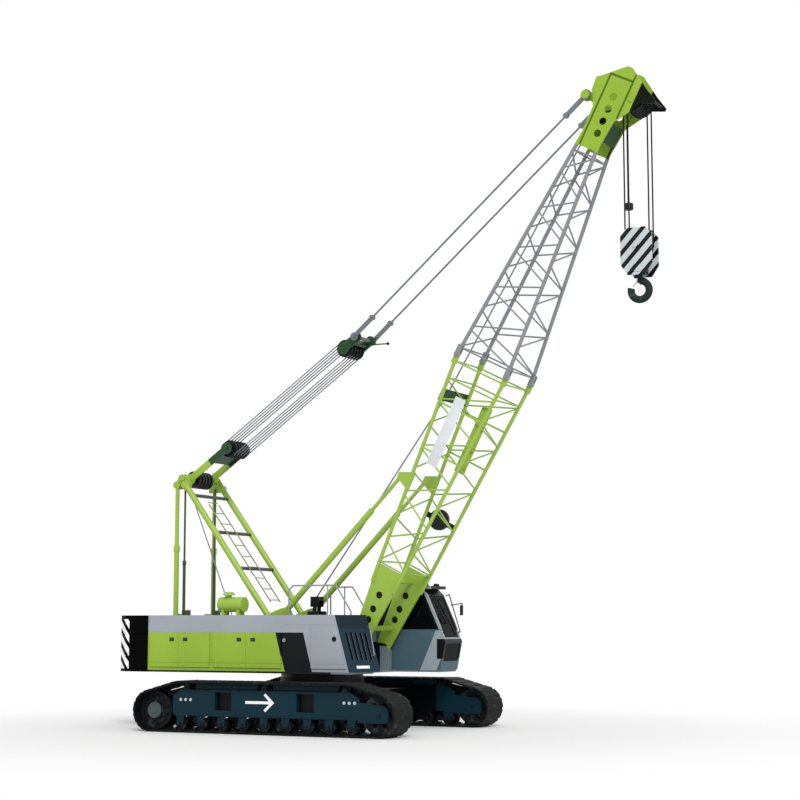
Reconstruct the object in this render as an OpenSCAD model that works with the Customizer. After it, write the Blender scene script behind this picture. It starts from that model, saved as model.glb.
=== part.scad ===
// Lattice-boom crawler crane with a two-section boom, put together as the real machine is:
// undercarriage with two tracks, slewing upperworks, cab, gantry, boom, rigging and hook block.
// Millimetres, +Z up, X to the front, Y to the left.
// The origin lies on the ground under the slewing axis.

/* [Tracks] */
// Length of a track over its shoes
track_len = 6150; // [5800:10:6600]
// Distance between the middle lines of the two tracks
track_gauge = 4350; // [4250:10:4600]
// Width of a shoe
shoe_w = 800; // [720:10:900]
// Thickness of a shoe
shoe_t = 45; // [36:1:60]
// Aimed length of a shoe along the track
shoe_pitch = 230; // [200:5:260]
// Height of the top run over the ground
track_top = 1050; // [1030:5:1100]
// Length that the top run slopes down over, at each end
top_slope = 690; // [640:10:790]
// Radius of the sprocket and the idler at the shoes
end_r = 390; // [370:5:410]
// Height of the drive lugs inside the shoes
lug_h = 50; // [35:1:60]
// Width of the drive lugs
lug_w = 150; // [110:5:180]
// Radius of a lower roller
roller_r = 130; // [115:1:135]
// Number of lower rollers on a side
roller_count = 9; // [7:1:10]
// Radius of a carrier roller under the top run
carrier_r = 95; // [92:1:105]

/* [Undercarriage frame] */
// Width of a track's side frame
frame_w = 430; // [400:10:480]
// Gap between the side frame's ends and the wheels there
frame_gap = 50; // [40:5:90]
// Lower edge of the side frame
frame_lo = 330; // [320:5:360]
// Upper edge of the side frame
frame_hi = 870; // [840:5:880]
// Place of the cross beams before and behind the slewing axis
beam_x = 970; // [900:10:1050]
// Width of a cross beam
beam_w = 400; // [340:10:440]
// Height of a cross beam
beam_h = 370; // [320:10:400]
// Radius of the slewing ring
ring_r = 900; // [820:10:960]

/* [Upperworks] */
// Underside of the deck
deck_z = 1200; // [1180:5:1240]
// Thickness of the deck
deck_t = 40; // [30:1:60]
// Half of the upperworks' width
house_half = 1640; // [1600:5:1700]
// Inner wall of a machinery house, from the middle
house_in = 840; // [830:5:880]
// Roof of the machinery houses
house_top = 2400; // [2350:5:2500]
// Rear end of the machinery houses
house_rear = -3400; // [-3450:5:-3390]
// Front foot of the right house, at the outer wall
nose_x = 1540; // [1480:5:1560]
// Plan angle of the right house's front
nose_turn = 22; // [15:1:26]
// Backward lean of the right house's front
nose_lean = 15; // [8:1:18]
// Front end of the left house
left_front = 640; // [560:10:700]
// Wall of the houses
wall = 30; // [20:1:40]
// Thickness of a house door
door_t = 25; // [20:1:35]
// Lower edge of the house doors
door_lo = 1310; // [1290:5:1350]
// Upper edge of the house doors
door_hi = 2040; // [1980:5:2090]
// Rear end of the counterweight
tail = 4400; // [4300:10:4600]
// Distance of the twin girder plates' slot from the middle
slot_y = 600; // [590:1:610]
// Width of that slot, where the boom foot sits
slot_w = 70; // [66:1:80]
// Thickness of a girder plate
girder_t = 40; // [30:1:44]

/* [Boom] */
// Place of the boom's foot pin, forward
foot_x = 1130; // [1100:5:1180]
// Height of the boom's foot pin
foot_z = 1680; // [1660:5:1720]
// Angle of the boom over the level
boom_angle = 63; // [60:1:66]
// Length of the lower section, from foot pin to joint pins
base_len = 6500; // [6300:50:6700]
// Length of the upper section, from joint pins to sheave pin
top_len = 6150; // [5950:50:6250]
// Half of the boom's width between chord middles
boom_half_w = 630; // [622:1:640]
// Half of the boom's depth between chord middles at the joint
boom_half_d = 620; // [590:5:650]
// Half of the boom's depth where the foot plates end
foot_half_d = 295; // [270:5:320]
// Half of the boom's width at the head
head_half_w = 330; // [320:5:350]
// Half of the boom's depth at the head
head_half_d = 240; // [230:5:260]
// Radius of a chord tube
chord_r = 40; // [36:1:54]
// Radius of a lacing tube
lacing_r = 18; // [15:1:28]
// Bays of lacing in the lower section
base_bays = 8; // [6:1:9]
// Bays of lacing in the upper section
top_bays = 10; // [7:1:11]
// Radius of a boom head sheave
sheave_r = 240; // [220:5:250]

/* [Gantry and rigging] */
// Place of the gantry's top shaft, forward
gantry_x = -3200; // [-3250:10:-3150]
// Height of the gantry's top shaft
gantry_z = 5420; // [5300:10:5500]
// Distance of the gantry legs from the middle
leg_y = 745; // [740:1:755]
// Radius of an upright rear leg
leg_r = 55; // [48:1:60]
// Radius of a slanting front leg
front_leg_r = 66; // [56:1:67]
// Place of the spreader's pin, forward
spreader_x = 980; // [900:10:1060]
// Height of the spreader's pin
spreader_z = 8340; // [8240:10:8440]
// Distance from the gantry shaft to the bail's sheave shaft
bail_len = 1150; // [1050:10:1250]
// Radius of the sheaves in bail and spreader
fall_r = 190; // [170:5:200]
// Distance of the pendants from the middle
pendant_y = 420; // [410:5:440]
// Place of the backstops' foot pins, forward
stop_x = -560; // [-600:5:-520]
// Height of the backstops' foot pins
stop_z = 2490; // [2460:5:2520]
// Place of the backstops' eyes along the boom
stop_s = 3700; // [3600:10:3800]
// Distance of the backstops' eyes from the boom's middle line
stop_n = 670; // [660:5:690]
// Radius of a backstop tube
stop_r = 65; // [55:1:70]

/* [Cab] */
// Rear wall of the cab
cab_rear = 900; // [860:10:960]
// Right wall of the cab
cab_in = 760; // [755:5:800]
// Roof of the cab
cab_top = 3000; // [2950:5:3050]
// Front of the cab where it bulges most
cab_front = 2560; // [2500:5:2620]
// Wall of the cab
cab_wall = 40; // [30:1:50]

/* [Hook] */
// Height of the hook block's middle
block_z = 9640; // [9500:10:9800]
// Height of the hook block
block_h = 960; // [880:10:1000]
// Width of the hook block
block_w = 660; // [600:10:700]
// Radius of the hook's throat
throat_r = 116; // [110:1:140]
// Radius of the hook's bow
bow_r = 74; // [60:1:84]

/* [Hidden] */
$fn = 48;
// Running gap of a shaft in its bore, and of a piece on its seat
fit = 0.4;
// Free space round a moving piece
clear = 6;

// The track's path along the inner faces of its shoes: an arc at each end, slopes and a level top
// joined to them by rounded corners
end_x = track_len / 2 - shoe_t - end_r;
top_half = end_x - top_slope;
frame_half = end_x - end_r - frame_gap;
end_z = shoe_t + end_r;
top_z = track_top - shoe_t;
corner_r = 600;
corner_z = top_z - corner_r;
corner_reach = norm([top_half - end_x, corner_z - end_z]);
arc_end = atan2(corner_z - end_z, top_half - end_x) + 360 - acos((end_r - corner_r) / corner_reach);
arc_len = end_r * (arc_end + 90) * PI / 180;
slope_len = sqrt(pow(corner_reach, 2) - pow(end_r - corner_r, 2));
corner_len = corner_r * (90 - arc_end) * PI / 180;
slope_turn = arc_end + 90;
run_1 = arc_len;
run_2 = run_1 + slope_len;
run_3 = run_2 + corner_len;
run_4 = run_3 + 2 * top_half;
run_5 = run_4 + corner_len;
run_6 = run_5 + slope_len;
run_7 = run_6 + arc_len;
// Shoes are laid out from both ends of the ground run, so that none dips below it
upper_count = round(run_7 / shoe_pitch);
lower_count = round(2 * end_x / shoe_pitch);
upper_pitch = run_7 / upper_count;
lower_pitch = 2 * end_x / lower_count;
shoe_count = upper_count + lower_count;
pitch = min(upper_pitch, lower_pitch);
function unit(a) = [cos(a), sin(a)];
// Point and heading at the distance s along the path
function on_arc(centre, r, a) = [centre + r * unit(a), a + 90];
function on_slope(x, a, s, heading) = [[x, end_z] + end_r * unit(a) + s * unit(heading), heading];
function degrees(s, r) = s / r * 180 / PI;
function on_loop(s) =
    s < run_1 ? on_arc([end_x, end_z], end_r, degrees(s, end_r) - 90) :
    s < run_2 ? on_slope(end_x, arc_end, s - run_1, slope_turn) :
    s < run_3 ? on_arc([top_half, corner_z], corner_r, arc_end + degrees(s - run_2, corner_r)) :
    s < run_4 ? [[top_half - (s - run_3), top_z], 180] :
    s < run_5 ? on_arc([-top_half, corner_z], corner_r, 90 + degrees(s - run_4, corner_r)) :
    s < run_6 ? on_slope(-end_x, 180 - arc_end, s - run_6, 360 - slope_turn) :
    s < run_7 ? on_arc([-end_x, end_z], end_r, 180 - arc_end + degrees(s - run_6, end_r)) :
    [[-end_x + s - run_7, shoe_t], 360];
function shoe_place(k) = k < upper_count ? k * upper_pitch : run_7 + (k - upper_count) * lower_pitch;
// A point of a shoe: along its length, and out from the path
function on_shoe(k, along, out) =
    let (p = on_loop(shoe_place(k)))
    p[0] + along * unit(p[1]) + out * unit(p[1] - 90);
shoe_gap = 12;
shoe_bevel = 22;
link_gap = 4;
lug_half = 55;
lug_top = 38;
lug_root = 10;

// Rollers
rim_in = lug_w / 2 + 12;
rim_w = 92;
rim_out = rim_in + rim_w;
axle_r = 32;
roller_z = shoe_t + roller_r + fit;
roller_first = -frame_half + 180;
roller_step = -2 * roller_first / (roller_count - 1);
carrier_z = top_z - carrier_r - fit;
bracket_t = 24;
axle_half = rim_out + bracket_t + 8;
drive_r = end_r * 0.62;
carrier_x = top_half - 80;

// Carbody and slewing ring
beam_z = (frame_lo + frame_hi) / 2 + 40;
beam_end = track_gauge / 2 + frame_w / 2 - 110;
body_lo = beam_z - beam_h / 2 + 10;
body_top = beam_z + beam_h / 2 + 20;
ring_lo = deck_z - 220;
ring_hi = deck_z - 110;

// Boom frame
head_s = base_len + top_len;
plate_end = 1700;
function half_d(s) = s < base_len
    ? foot_half_d + (boom_half_d - foot_half_d) * (s - plate_end) / (base_len - plate_end)
    : boom_half_d + (head_half_d - boom_half_d) * (s - base_len) / (head_base - base_len);
function half_w(s) = s < base_len
    ? boom_half_w
    : boom_half_w + (head_half_w - boom_half_w) * (s - base_len) / (head_base - base_len);
function chord_at(s, side, back) = [s, side * half_w(s), back * half_d(s)];
head_base = head_s - 1300;
sheave_n = -480;
head_shaft_r = 58;
sheave_step = 125;
sheave_w = 70;
jib_pin_r = 80;
pendant_bar_r = 45;
link_t = 40;
foot_pin_r = 60;
chord_sides = 12;
lacing_sides = 8;
lacing_toe = 45;
foot_plate_t = slot_w - 2 * clear;
foot_eye_r = 150;
joint_pin_r = 32;
joint_boss = 64;
joint_t = 50;
joint_reach = 95;
joint_frame = 150;
twin_frame = 370;
head_t = 34;
head_floor_n = -285;
head_floor_len = 430;
head_back_n = 190;
head_joint = head_base + 60;
collar_r = 90;
collar_end = pendant_y + 70;
reel_s = 3040;
reel_n = 80;
reel_r = 225;

// Rigging line from the gantry's top shaft to the spreader's pin
bail_angle = atan2(spreader_z - gantry_z, spreader_x - gantry_x);
fall_len = norm([spreader_x - gantry_x, spreader_z - gantry_z]);
pendant_s = head_s - 250;
pendant_n = 450;
boom_u = unit(boom_angle);
boom_v = unit(boom_angle + 90);
pendant_top = [foot_x, foot_z] + pendant_s * boom_u + pendant_n * boom_v;
pendant_angle = atan2(pendant_top.y - spreader_z, pendant_top.x - spreader_x);
pendant_len = norm([pendant_top.x - spreader_x, pendant_top.y - spreader_z]);
stop_eye = [foot_x, foot_z] + stop_s * boom_u + stop_n * boom_v;
stop_angle = atan2(stop_eye.y - stop_z, stop_eye.x - stop_x);
stop_len = norm([stop_eye.x - stop_x, stop_eye.y - stop_z]);
head_pin = [foot_x, foot_z] + head_s * boom_u + sheave_n * boom_v;
hook_x = head_pin.x;
hoist_rope_r = 14;
block_axle_r = 48;
block_axle_z = block_z + 110;
hook_tube = 52;
spreader_back = 380;
pendant_pin_r = 42;
stop_tube = 2950;
stop_rod_r = 40;
stop_rod_in = 1250;
stop_eye_t = 44;
stop_eye_r = 62;
stop_flat = 260;
stop_flat_h = 68;
weight_z = 10640;
line_y = sheave_step / 2;
line_r = 8;
fall_x = sheave_r + fit + hoist_rope_r;
cheek_t = 45;
cheek_y = sheave_step + sheave_w / 2 + 18 + cheek_t / 2;
trunnion_z = block_z - block_h / 2 + 130;
throat_z = trunnion_z - 420;

// Deck and houses
deck_top = deck_z + deck_t;
skin_y = house_half - door_t - fit;
girder_in = slot_y - slot_w / 2 - girder_t;
girder_out = slot_y + slot_w / 2 + girder_t;
drum_x = -120;
drum_z = 2050;
luff_x = -1750;
luff_z = 1880;
girder_hi = 1980;
hump_top = 2420;
leg_foot_x = -870;
leg_foot_z = 2330;
rear_leg_x = -3290;
rear_foot_z = 2330;
foot_r = 44;
foot_boss = 85;

// House doors: rear edge and front edge of each, by pairs that close on each other
door_gap = 6;
post_w = 2 * door_t + 40;
split_1 = -2600;
split_2 = -1770;
split_3 = -910;
door_first = house_rear + 60;
door_last = -60;
handle_in = 170;
nose_door_x = 660;
nose_door_hi = 2210;

// Engine, air cleaner, roof rails, winch drums and gantry
engine_at = [-2500, -1480, 1420];
engine_size = [1400, 520, 620];
bearer_w = 120;
bearer_in = 40;
cleaner_x = -1550;
cleaner_y = -1150;
cleaner_z = 2625;
cleaner_r = 160;
cleaner_half = 300;
cap_x = cleaner_x - 100;
rail_y = house_in + 60;
rail_hi = house_top + 620;
rail_rear = -310;
drum_half = girder_in - 30;
drum_shaft_r = 50;
leg_top = gantry_z - 150;
leg_top_x = gantry_x + 120;
fall_shaft_r = 50;
fall_step = 120;
fall_sheave_w = 60;

// Cab, with its side outline: upright rear, leaning windscreen, bulge at knee height
cab_out = house_half - 40;
cab_z = deck_top + fit;
cab_outline = [
    [cab_rear, cab_z], [cab_front - 120, cab_z], [cab_front, cab_z + 600], [cab_front - 160, cab_z + 990],
    [cab_front - 440, cab_top - 160], [cab_front - 590, cab_top - 15], [cab_rear + 140, cab_top],
    [cab_rear, cab_top - 90]];
cab_sill = cab_z + 860;
cab_rim = 90;
cab_door_x = cab_rear + 130;
cab_door_w = 820;
cab_door_lo = cab_z + 60;
cab_door_hi = cab_top - 110;
cab_door_rim = 80;
quarter_x = cab_door_x + cab_door_w + 40;
quarter_w = 300;
quarter_h = 420;
glass_t = 10;
glass_in = 14;

// Shared shapes

// A round bar between two points
module bar(a, b, r, sides = 48) {
    d = b - a;
    translate(a) rotate([0, acos(d.z / norm(d)), atan2(d.y, d.x)])
        cylinder(h = norm(d), r = r, $fn = sides);
}
// A plate that stands along X and Z, with its middle at y
module side_plate(y, t) {
    translate([0, y + t / 2, 0]) rotate([90, 0, 0]) linear_extrude(t) children();
}
// A round bar along Y through the point (x, z), from y0 to y1
module cross_bar(x, z, y0, y1, r) {
    translate([x, y0, z]) rotate([-90, 0, 0]) cylinder(h = y1 - y0, r = r);
}
module both_sides() {
    children();
    mirror([0, 1, 0]) children();
}
// Frame of the boom: X along it from the foot pin, Z out of its back
module in_boom() {
    translate([foot_x, 0, foot_z]) rotate([0, -boom_angle, 0]) children();
}
// Frame of the boom hoist falls: X along them from the gantry's top shaft
module in_falls() {
    translate([gantry_x, 0, gantry_z]) rotate([0, -bail_angle, 0]) children();
}
module on_right_track() { translate([0, -track_gauge / 2, 0]) children(); }
module on_left_track() { translate([0, track_gauge / 2, 0]) mirror([0, 1, 0]) children(); }
// An outline moved inwards by d; the points run anticlockwise
function inset(p, d) = [for (i = [0 : len(p) - 1])
    let (a = p[(i + len(p) - 1) % len(p)], b = p[i], c = p[(i + 1) % len(p)],
        u = (b - a) / norm(b - a), v = (c - b) / norm(c - b),
        m = [-u.y, u.x], n = [-v.y, v.x])
    b + (m + n) * d / (1 + m * n)];
// A sheave on the Y axis with a rope groove
module sheave(r, w, bore) {
    groove = w * 0.32;
    rotate([90, 0, 0]) difference() {
        cylinder(h = w, r = r, center = true);
        cylinder(h = w + 2, r = bore, center = true);
        rotate_extrude() translate([r, 0]) circle(r = groove, $fn = 24);
        for (s = [-1, 1]) translate([0, 0, s * w / 2]) rotate_extrude()
            translate([r * 0.42, 0]) square([r * 0.32, w * 0.4], center = true);
    }
}

// Undercarriage

// One endless loop of flat shoes, with a drive lug inside each
module track_loop() {
    outer = [for (k = [0 : shoe_count - 1])
        each [on_shoe(k, -pitch / 2 + shoe_gap / 2, shoe_t - shoe_bevel),
            on_shoe(k, -pitch / 2 + shoe_gap / 2 + shoe_bevel, shoe_t),
            on_shoe(k, pitch / 2 - shoe_gap / 2 - shoe_bevel, shoe_t),
            on_shoe(k, pitch / 2 - shoe_gap / 2, shoe_t - shoe_bevel)]];
    inner = [for (k = [0 : shoe_count - 1])
        each [on_shoe(k, -pitch / 2 + link_gap, 0), on_shoe(k, pitch / 2 - link_gap, 0)]];
    side_plate(0, shoe_w) difference() { polygon(outer); polygon(inner); }
    side_plate(0, lug_w) for (k = [0 : shoe_count - 1])
        polygon([on_shoe(k, -lug_half, lug_root), on_shoe(k, lug_half, lug_root),
            on_shoe(k, lug_half, 0), on_shoe(k, lug_top, -lug_h),
            on_shoe(k, -lug_top, -lug_h), on_shoe(k, -lug_half, 0)]);
}
module track_right() { color("#14171b") on_right_track() track_loop(); }
module track_left() { color("#14171b") on_left_track() track_loop(); }

// Two rims on a hub, with a groove between them that the drive lugs run in
module twin_rim(r, hub_r, axle_half_len) {
    for (s = [-1, 1]) translate([0, s * (rim_in + rim_w / 2), 0]) rotate([90, 0, 0])
        cylinder(h = rim_w, r = r, center = true);
    rotate([90, 0, 0]) cylinder(h = 2 * rim_out - 2, r = hub_r, center = true);
    rotate([90, 0, 0]) cylinder(h = 2 * axle_half_len, r = axle_r, center = true);
}
module side_rollers() {
    for (i = [0 : roller_count - 1])
        translate([roller_first + i * roller_step, 0, roller_z])
            twin_rim(roller_r, roller_r - lug_h - clear, axle_half);
    for (x = [-1, 0, 1]) translate([x * carrier_x, 0, carrier_z])
        twin_rim(carrier_r, axle_r + 1, axle_half);
}
module track_rollers() {
    color("#1c2226") { on_right_track() side_rollers(); on_left_track() side_rollers(); }
}
// Idler wheel with a ring of lightening holes
module idler_wheel() {
    translate([end_x, 0, end_z]) difference() {
        twin_rim(end_r - fit, end_r - lug_h - 2 * clear, rim_out + 60);
        for (a = [0 : 60 : 300]) rotate([0, a, 0]) translate([end_r * 0.55, 0, 0])
            rotate([90, 0, 0]) cylinder(h = 2 * rim_out + 2, r = end_r * 0.14, center = true);
    }
}
module idlers() {
    color("#20282c") { on_right_track() idler_wheel(); on_left_track() idler_wheel(); }
}
// Drive sprocket with a bolted hub
module sprocket_wheel() {
    hub = end_r * 0.5;
    translate([-end_x, 0, end_z]) difference() {
        union() {
            twin_rim(end_r - fit, end_r - lug_h - 2 * clear, rim_out + 60);
            translate([0, -rim_out, 0]) rotate([90, 0, 0]) cylinder(h = 36, r = hub);
        }
        for (a = [15 : 30 : 345]) rotate([0, a, 0]) translate([end_r * 0.76, -rim_out, 0])
            rotate([90, 0, 0]) cylinder(h = 60, r = end_r * 0.06, center = true);
    }
}
module sprockets() {
    color("#20282c") { on_right_track() sprocket_wheel(); on_left_track() sprocket_wheel(); }
}
// Planetary travel drive on the inner side of the sprocket
module travel_drive() {
    translate([-end_x, rim_out + fit, end_z]) rotate([-90, 0, 0]) difference() {
        union() {
            cylinder(h = 130, r = drive_r);
            translate([0, 0, 130]) cylinder(h = 140, r = end_r * 0.5);
            translate([0, 0, 270]) cylinder(h = 190, r = end_r * 0.3);
        }
        translate([0, 0, -1]) cylinder(h = 62, r = axle_r + fit);
    }
}
module travel_drives() {
    color("#233a40") { on_right_track() travel_drive(); on_left_track() travel_drive(); }
}

// Side frame: a box beam with sockets for the cross beams, yokes at its ends and roller brackets
module track_frame() {
    yoke_in = rim_out + clear;
    yoke_t = 36;
    yoke_lo = end_z - 150;
    yoke_hi = end_z + 250;
    yoke_rim = 58;
    bracket_half = 62;
    bracket_y = rim_out + 2 + bracket_t / 2;
    difference() {
        union() {
            side_plate(0, frame_w) polygon([
                [-frame_half, frame_lo + 60], [-frame_half + 60, frame_lo],
                [frame_half - 60, frame_lo], [frame_half, frame_lo + 60],
                [frame_half, frame_hi - 130], [frame_half - 190, frame_hi],
                [-frame_half + 190, frame_hi], [-frame_half, frame_hi - 130]]);
            // Yokes that hold the idler and the sprocket
            for (s = [-1, 1]) {
                side_plate(s * (yoke_in + yoke_t / 2), yoke_t) polygon([
                    [frame_half - 40, yoke_lo], [end_x + 150, yoke_lo], [end_x + 210, yoke_lo + 60],
                    [end_x + 210, end_z + 110], [end_x + 110, end_z + 190], [frame_half - 40, yoke_hi]]);
            }
            // Inner rear yoke, bored for the travel drive
            side_plate(yoke_in + yoke_t / 2, yoke_t) {
                translate([-end_x, end_z]) circle(r = drive_r + yoke_rim);
                polygon([[-end_x, end_z - drive_r - yoke_rim], [-frame_half + 40, yoke_lo - 60],
                    [-frame_half + 40, yoke_hi], [-end_x, end_z + drive_r + yoke_rim]]);
            }
            // Brackets of the lower rollers, and posts of the carrier rollers
            for (s = [-1, 1], i = [0 : roller_count - 1])
                side_plate(s * bracket_y, bracket_t) let (x = roller_first + i * roller_step)
                    polygon([[x - bracket_half - 40, frame_lo + 40], [x - bracket_half, roller_z - 45],
                        [x + bracket_half, roller_z - 45], [x + bracket_half + 40, frame_lo + 40]]);
            for (s = [-1, 1], x = [-1, 0, 1])
                side_plate(s * bracket_y, bracket_t) polygon([
                    [x * carrier_x - 90, frame_hi - 120], [x * carrier_x + 90, frame_hi - 120],
                    [x * carrier_x + 48, carrier_z + 46], [x * carrier_x - 48, carrier_z + 46]]);
        }
        for (s = [-1, 1]) translate([s * beam_x, 0, beam_z])
            cube([beam_w + 2 * fit, frame_w + 200, beam_h + 2 * fit], center = true);
        for (i = [0 : roller_count - 1])
            cross_bar(roller_first + i * roller_step, roller_z, -frame_w, frame_w, axle_r + fit);
        for (x = [-1, 0, 1]) cross_bar(x * carrier_x, carrier_z, -frame_w, frame_w, axle_r + fit);
        cross_bar(end_x, end_z, -frame_w, frame_w, axle_r + fit);
        cross_bar(-end_x, end_z, 0, frame_w, drive_r + fit);
        // Room for the carrier rollers' rims in the beam's top
        for (x = [-1, 0, 1])
            cross_bar(x * carrier_x, carrier_z, -rim_out - 2, rim_out + 2, carrier_r + clear);
    }
}
module track_frame_right() { color("#17404a") on_right_track() track_frame(); }
module track_frame_left() { color("#17404a") on_left_track() track_frame(); }

// Carbody: two cross beams joined by a box with a round seat for the slewing ring
module carbody() {
    color("#1d4650") difference() {
        union() {
            for (s = [-1, 1]) translate([s * beam_x, 0, beam_z])
                cube([beam_w, 2 * beam_end, beam_h], center = true);
            translate([0, 0, body_lo]) linear_extrude(body_top - body_lo) polygon([
                [-beam_x - 150, -760], [-beam_x + 260, -1180], [beam_x - 260, -1180], [beam_x + 150, -760],
                [beam_x + 150, 760], [beam_x - 260, 1180], [-beam_x + 260, 1180], [-beam_x - 150, 760]]);
            translate([0, 0, body_top - 1]) cylinder(h = ring_lo - body_top + 1, r = ring_r - 60);
        }
        translate([0, 0, beam_z - beam_h]) cylinder(h = 2000, r = 320);
    }
}
// Fixed race of the slewing ring, with its gear inside
module slew_ring() {
    color("#5a6064") translate([0, 0, ring_lo]) difference() {
        cylinder(h = ring_hi - ring_lo, r = ring_r);
        translate([0, 0, -1]) cylinder(h = 200, r = ring_r - 190);
        translate([0, 0, 70]) rotate_extrude() translate([ring_r, 0]) square([30, 24], center = true);
    }
}

// Upperworks

// Outline of a girder plate, from the tail to the boom foot
module girder_outline() {
    polygon([[house_rear + 20, deck_top - 1], [foot_x + 190, deck_top - 1], [foot_x + 190, foot_z - 40],
        [foot_x + 120, foot_z + 110], [foot_x - 90, foot_z + 150], [drum_x + 480, foot_z + 190],
        [drum_x + 190, hump_top - 20], [stop_x + 150, hump_top - 20], [stop_x + 62, stop_z + 62],
        [stop_x - 62, stop_z + 62], [leg_foot_x - 110, hump_top], [leg_foot_x - 330, girder_hi],
        [rear_leg_x + 230, girder_hi], [rear_leg_x + 110, rear_foot_z + 110],
        [house_rear + 20, rear_foot_z + 110]]);
}
// Deck with twin-plate girders that carry boom foot, winches, gantry and counterweight
module slewing_frame() {
    color("#3a4247") difference() {
        union() {
            translate([0, 0, deck_z]) linear_extrude(deck_t) polygon([
                [house_rear, -house_half + 20], [nose_x - 20, -house_half + 20],
                [nose_x + 180, -house_in - 60], [foot_x + 240, -girder_out - 20],
                [foot_x + 240, girder_out + 20], [foot_x + 240, cab_in + 10], [cab_front - 160, cab_in + 10],
                [cab_front - 160, house_half - 20], [house_rear, house_half - 20]]);
            translate([0, 0, ring_hi + fit]) cylinder(h = deck_z - ring_hi, r = ring_r - 20);
            both_sides() {
                side_plate(girder_in + girder_t / 2, girder_t) girder_outline();
                side_plate(girder_out - girder_t / 2, girder_t) girder_outline();
                // Foot pins of the gantry legs stand out of the outer plates
                for (p = [[leg_foot_x, leg_foot_z], [rear_leg_x, rear_foot_z]])
                    cross_bar(p[0], p[1], girder_out - 5, leg_y + leg_r + 8, foot_r);
                cross_bar(foot_x, foot_z, girder_in - 12, girder_out + 12, foot_pin_r);
                cross_bar(stop_x, stop_z, girder_in - 8, girder_out - 5, foot_r);
            }
            for (x = [house_rear + 60, luff_x - 560, luff_x + 500, foot_x - 420])
                translate([x, -girder_in - 5, deck_top - 1]) cube([girder_t, 2 * girder_in + 10, 330]);
        }
        for (p = [[drum_x, drum_z], [luff_x, luff_z]])
            cross_bar(p[0], p[1], -girder_in - girder_t - 5, girder_in + girder_t + 5, drum_shaft_r + fit);
    }
}
// Ballast slab behind the houses, its corners cut back in plan
module counterweight() {
    color("#0a0b0c") translate([0, 0, deck_z]) difference() {
        linear_extrude(house_top - deck_z) polygon([
            [house_rear - fit, -house_half], [house_rear - 570, -house_half],
            [-tail + 190, -house_half + 170], [-tail, -house_half + 620],
            [-tail, house_half - 620], [-tail + 190, house_half - 170],
            [house_rear - 570, house_half], [house_rear - fit, house_half]]);
        // Hand grooves between the stacked slabs
        for (z = [400, 790]) translate([-tail - 1, -house_half - 1, z]) difference() {
            cube([tail + house_rear + 3, 2 * house_half + 2, 14]);
            translate([16, 16, -1]) linear_extrude(20) polygon([
                [tail + house_rear + 5, 0], [tail + house_rear - 560, 0], [190, 168], [2, 612],
                [2, 2 * house_half - 642], [190, 2 * house_half - 198],
                [tail + house_rear - 560, 2 * house_half - 30],
                [tail + house_rear + 5, 2 * house_half - 30]]);
        }
    }
}

// Space in front of the right house's leaning nose, moved back by d
module nose_space(d) {
    translate([nose_x, -house_half, deck_z]) rotate([0, -nose_lean, -nose_turn])
        translate([-d, -4000, -4000]) cube([4000, 8000, 8000]);
}
// Box of a house between x0 and x1, on the right side
module house_box(x0, x1, d) {
    translate([x0 + d, -skin_y + d, deck_top + (d > 0 ? -1 : fit)])
        cube([x1 - x0 - 2 * d, skin_y - house_in - 2 * d, house_top - deck_top - d + (d > 0 ? 1 : -fit)]);
}
// Opening behind a door, smaller than the door by a rim on each side
module door_hole(x0, x1) {
    rim = 35;
    translate([x0 + rim, -skin_y - 10, door_lo + rim])
        cube([x1 - x0 - 2 * rim, wall + 20, door_hi - door_lo - 2 * rim]);
}
// Louvres in the house's inner wall, for cooling air
module louvres(x0, x1) {
    for (z = [1500 : 90 : 2130]) translate([x0, -house_in - wall - 10, z]) cube([x1 - x0, wall + 20, 40]);
}
module house_right() {
    color("#9aa0a8") difference() {
        house_box(house_rear, nose_x + 800, 0);
        nose_space(0);
        difference() { house_box(house_rear, nose_x + 800, wall); nose_space(wall); }
        door_hole(door_first, split_1 - door_gap / 2 + 30);
        door_hole(split_1 + door_gap / 2 - 30, split_2 - post_w / 2);
        door_hole(split_2 + post_w / 2, split_3 - door_gap / 2 + 30);
        door_hole(split_3 + door_gap / 2 - 30, door_last);
        translate([nose_door_x + 35, -skin_y - 10, door_lo + 35])
            cube([nose_x - 330 - nose_door_x - 70, wall + 20, nose_door_hi - door_lo - 70]);
        louvres(-3100, -2300);
        // Slots of the grille in the leaning front
        intersection() {
            for (i = [0 : 4]) translate([0, -house_half + 170 + i * 115, 1480]) cube([3000, 60, 560]);
            difference() { nose_space(wall + 20); nose_space(-20); }
        }
    }
}
module house_left() {
    color("#9aa0a8") mirror([0, 1, 0]) difference() {
        house_box(house_rear, left_front, 0);
        house_box(house_rear, left_front, wall);
        door_hole(split_2 + post_w / 2, split_3 - door_gap / 2 + 30);
        door_hole(split_3 + door_gap / 2 - 30, door_last);
        louvres(-3100, -2300);
    }
}
// A sheet door that lies on the house's skin, with a folded edge and a recessed handle
module house_door(x0, x1, handle_x) {
    h = door_hi - door_lo;
    translate([x0, -house_half, door_lo]) difference() {
        cube([x1 - x0, door_t, h]);
        translate([handle_x - x0 - 60, -1, h - 190]) cube([120, 13, 80]);
    }
    translate([handle_x - 45, -house_half + 2, door_hi - 160]) cube([90, 11, 18]);
}
module door_right_1() {
    color("#97bc3c") house_door(door_first, split_1 - door_gap / 2, split_1 - handle_in);
}
module door_right_2() {
    color("#97bc3c") house_door(split_1 + door_gap / 2, split_2 - post_w / 2, split_1 + handle_in);
}
module door_right_3() {
    color("#97bc3c") house_door(split_2 + post_w / 2, split_3 - door_gap / 2, split_3 - handle_in);
}
module door_right_4() {
    color("#97bc3c") house_door(split_3 + door_gap / 2, door_last, split_3 + handle_in);
}
module door_left_1() { mirror([0, 1, 0]) door_right_3(); }
module door_left_2() { mirror([0, 1, 0]) door_right_4(); }
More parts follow.
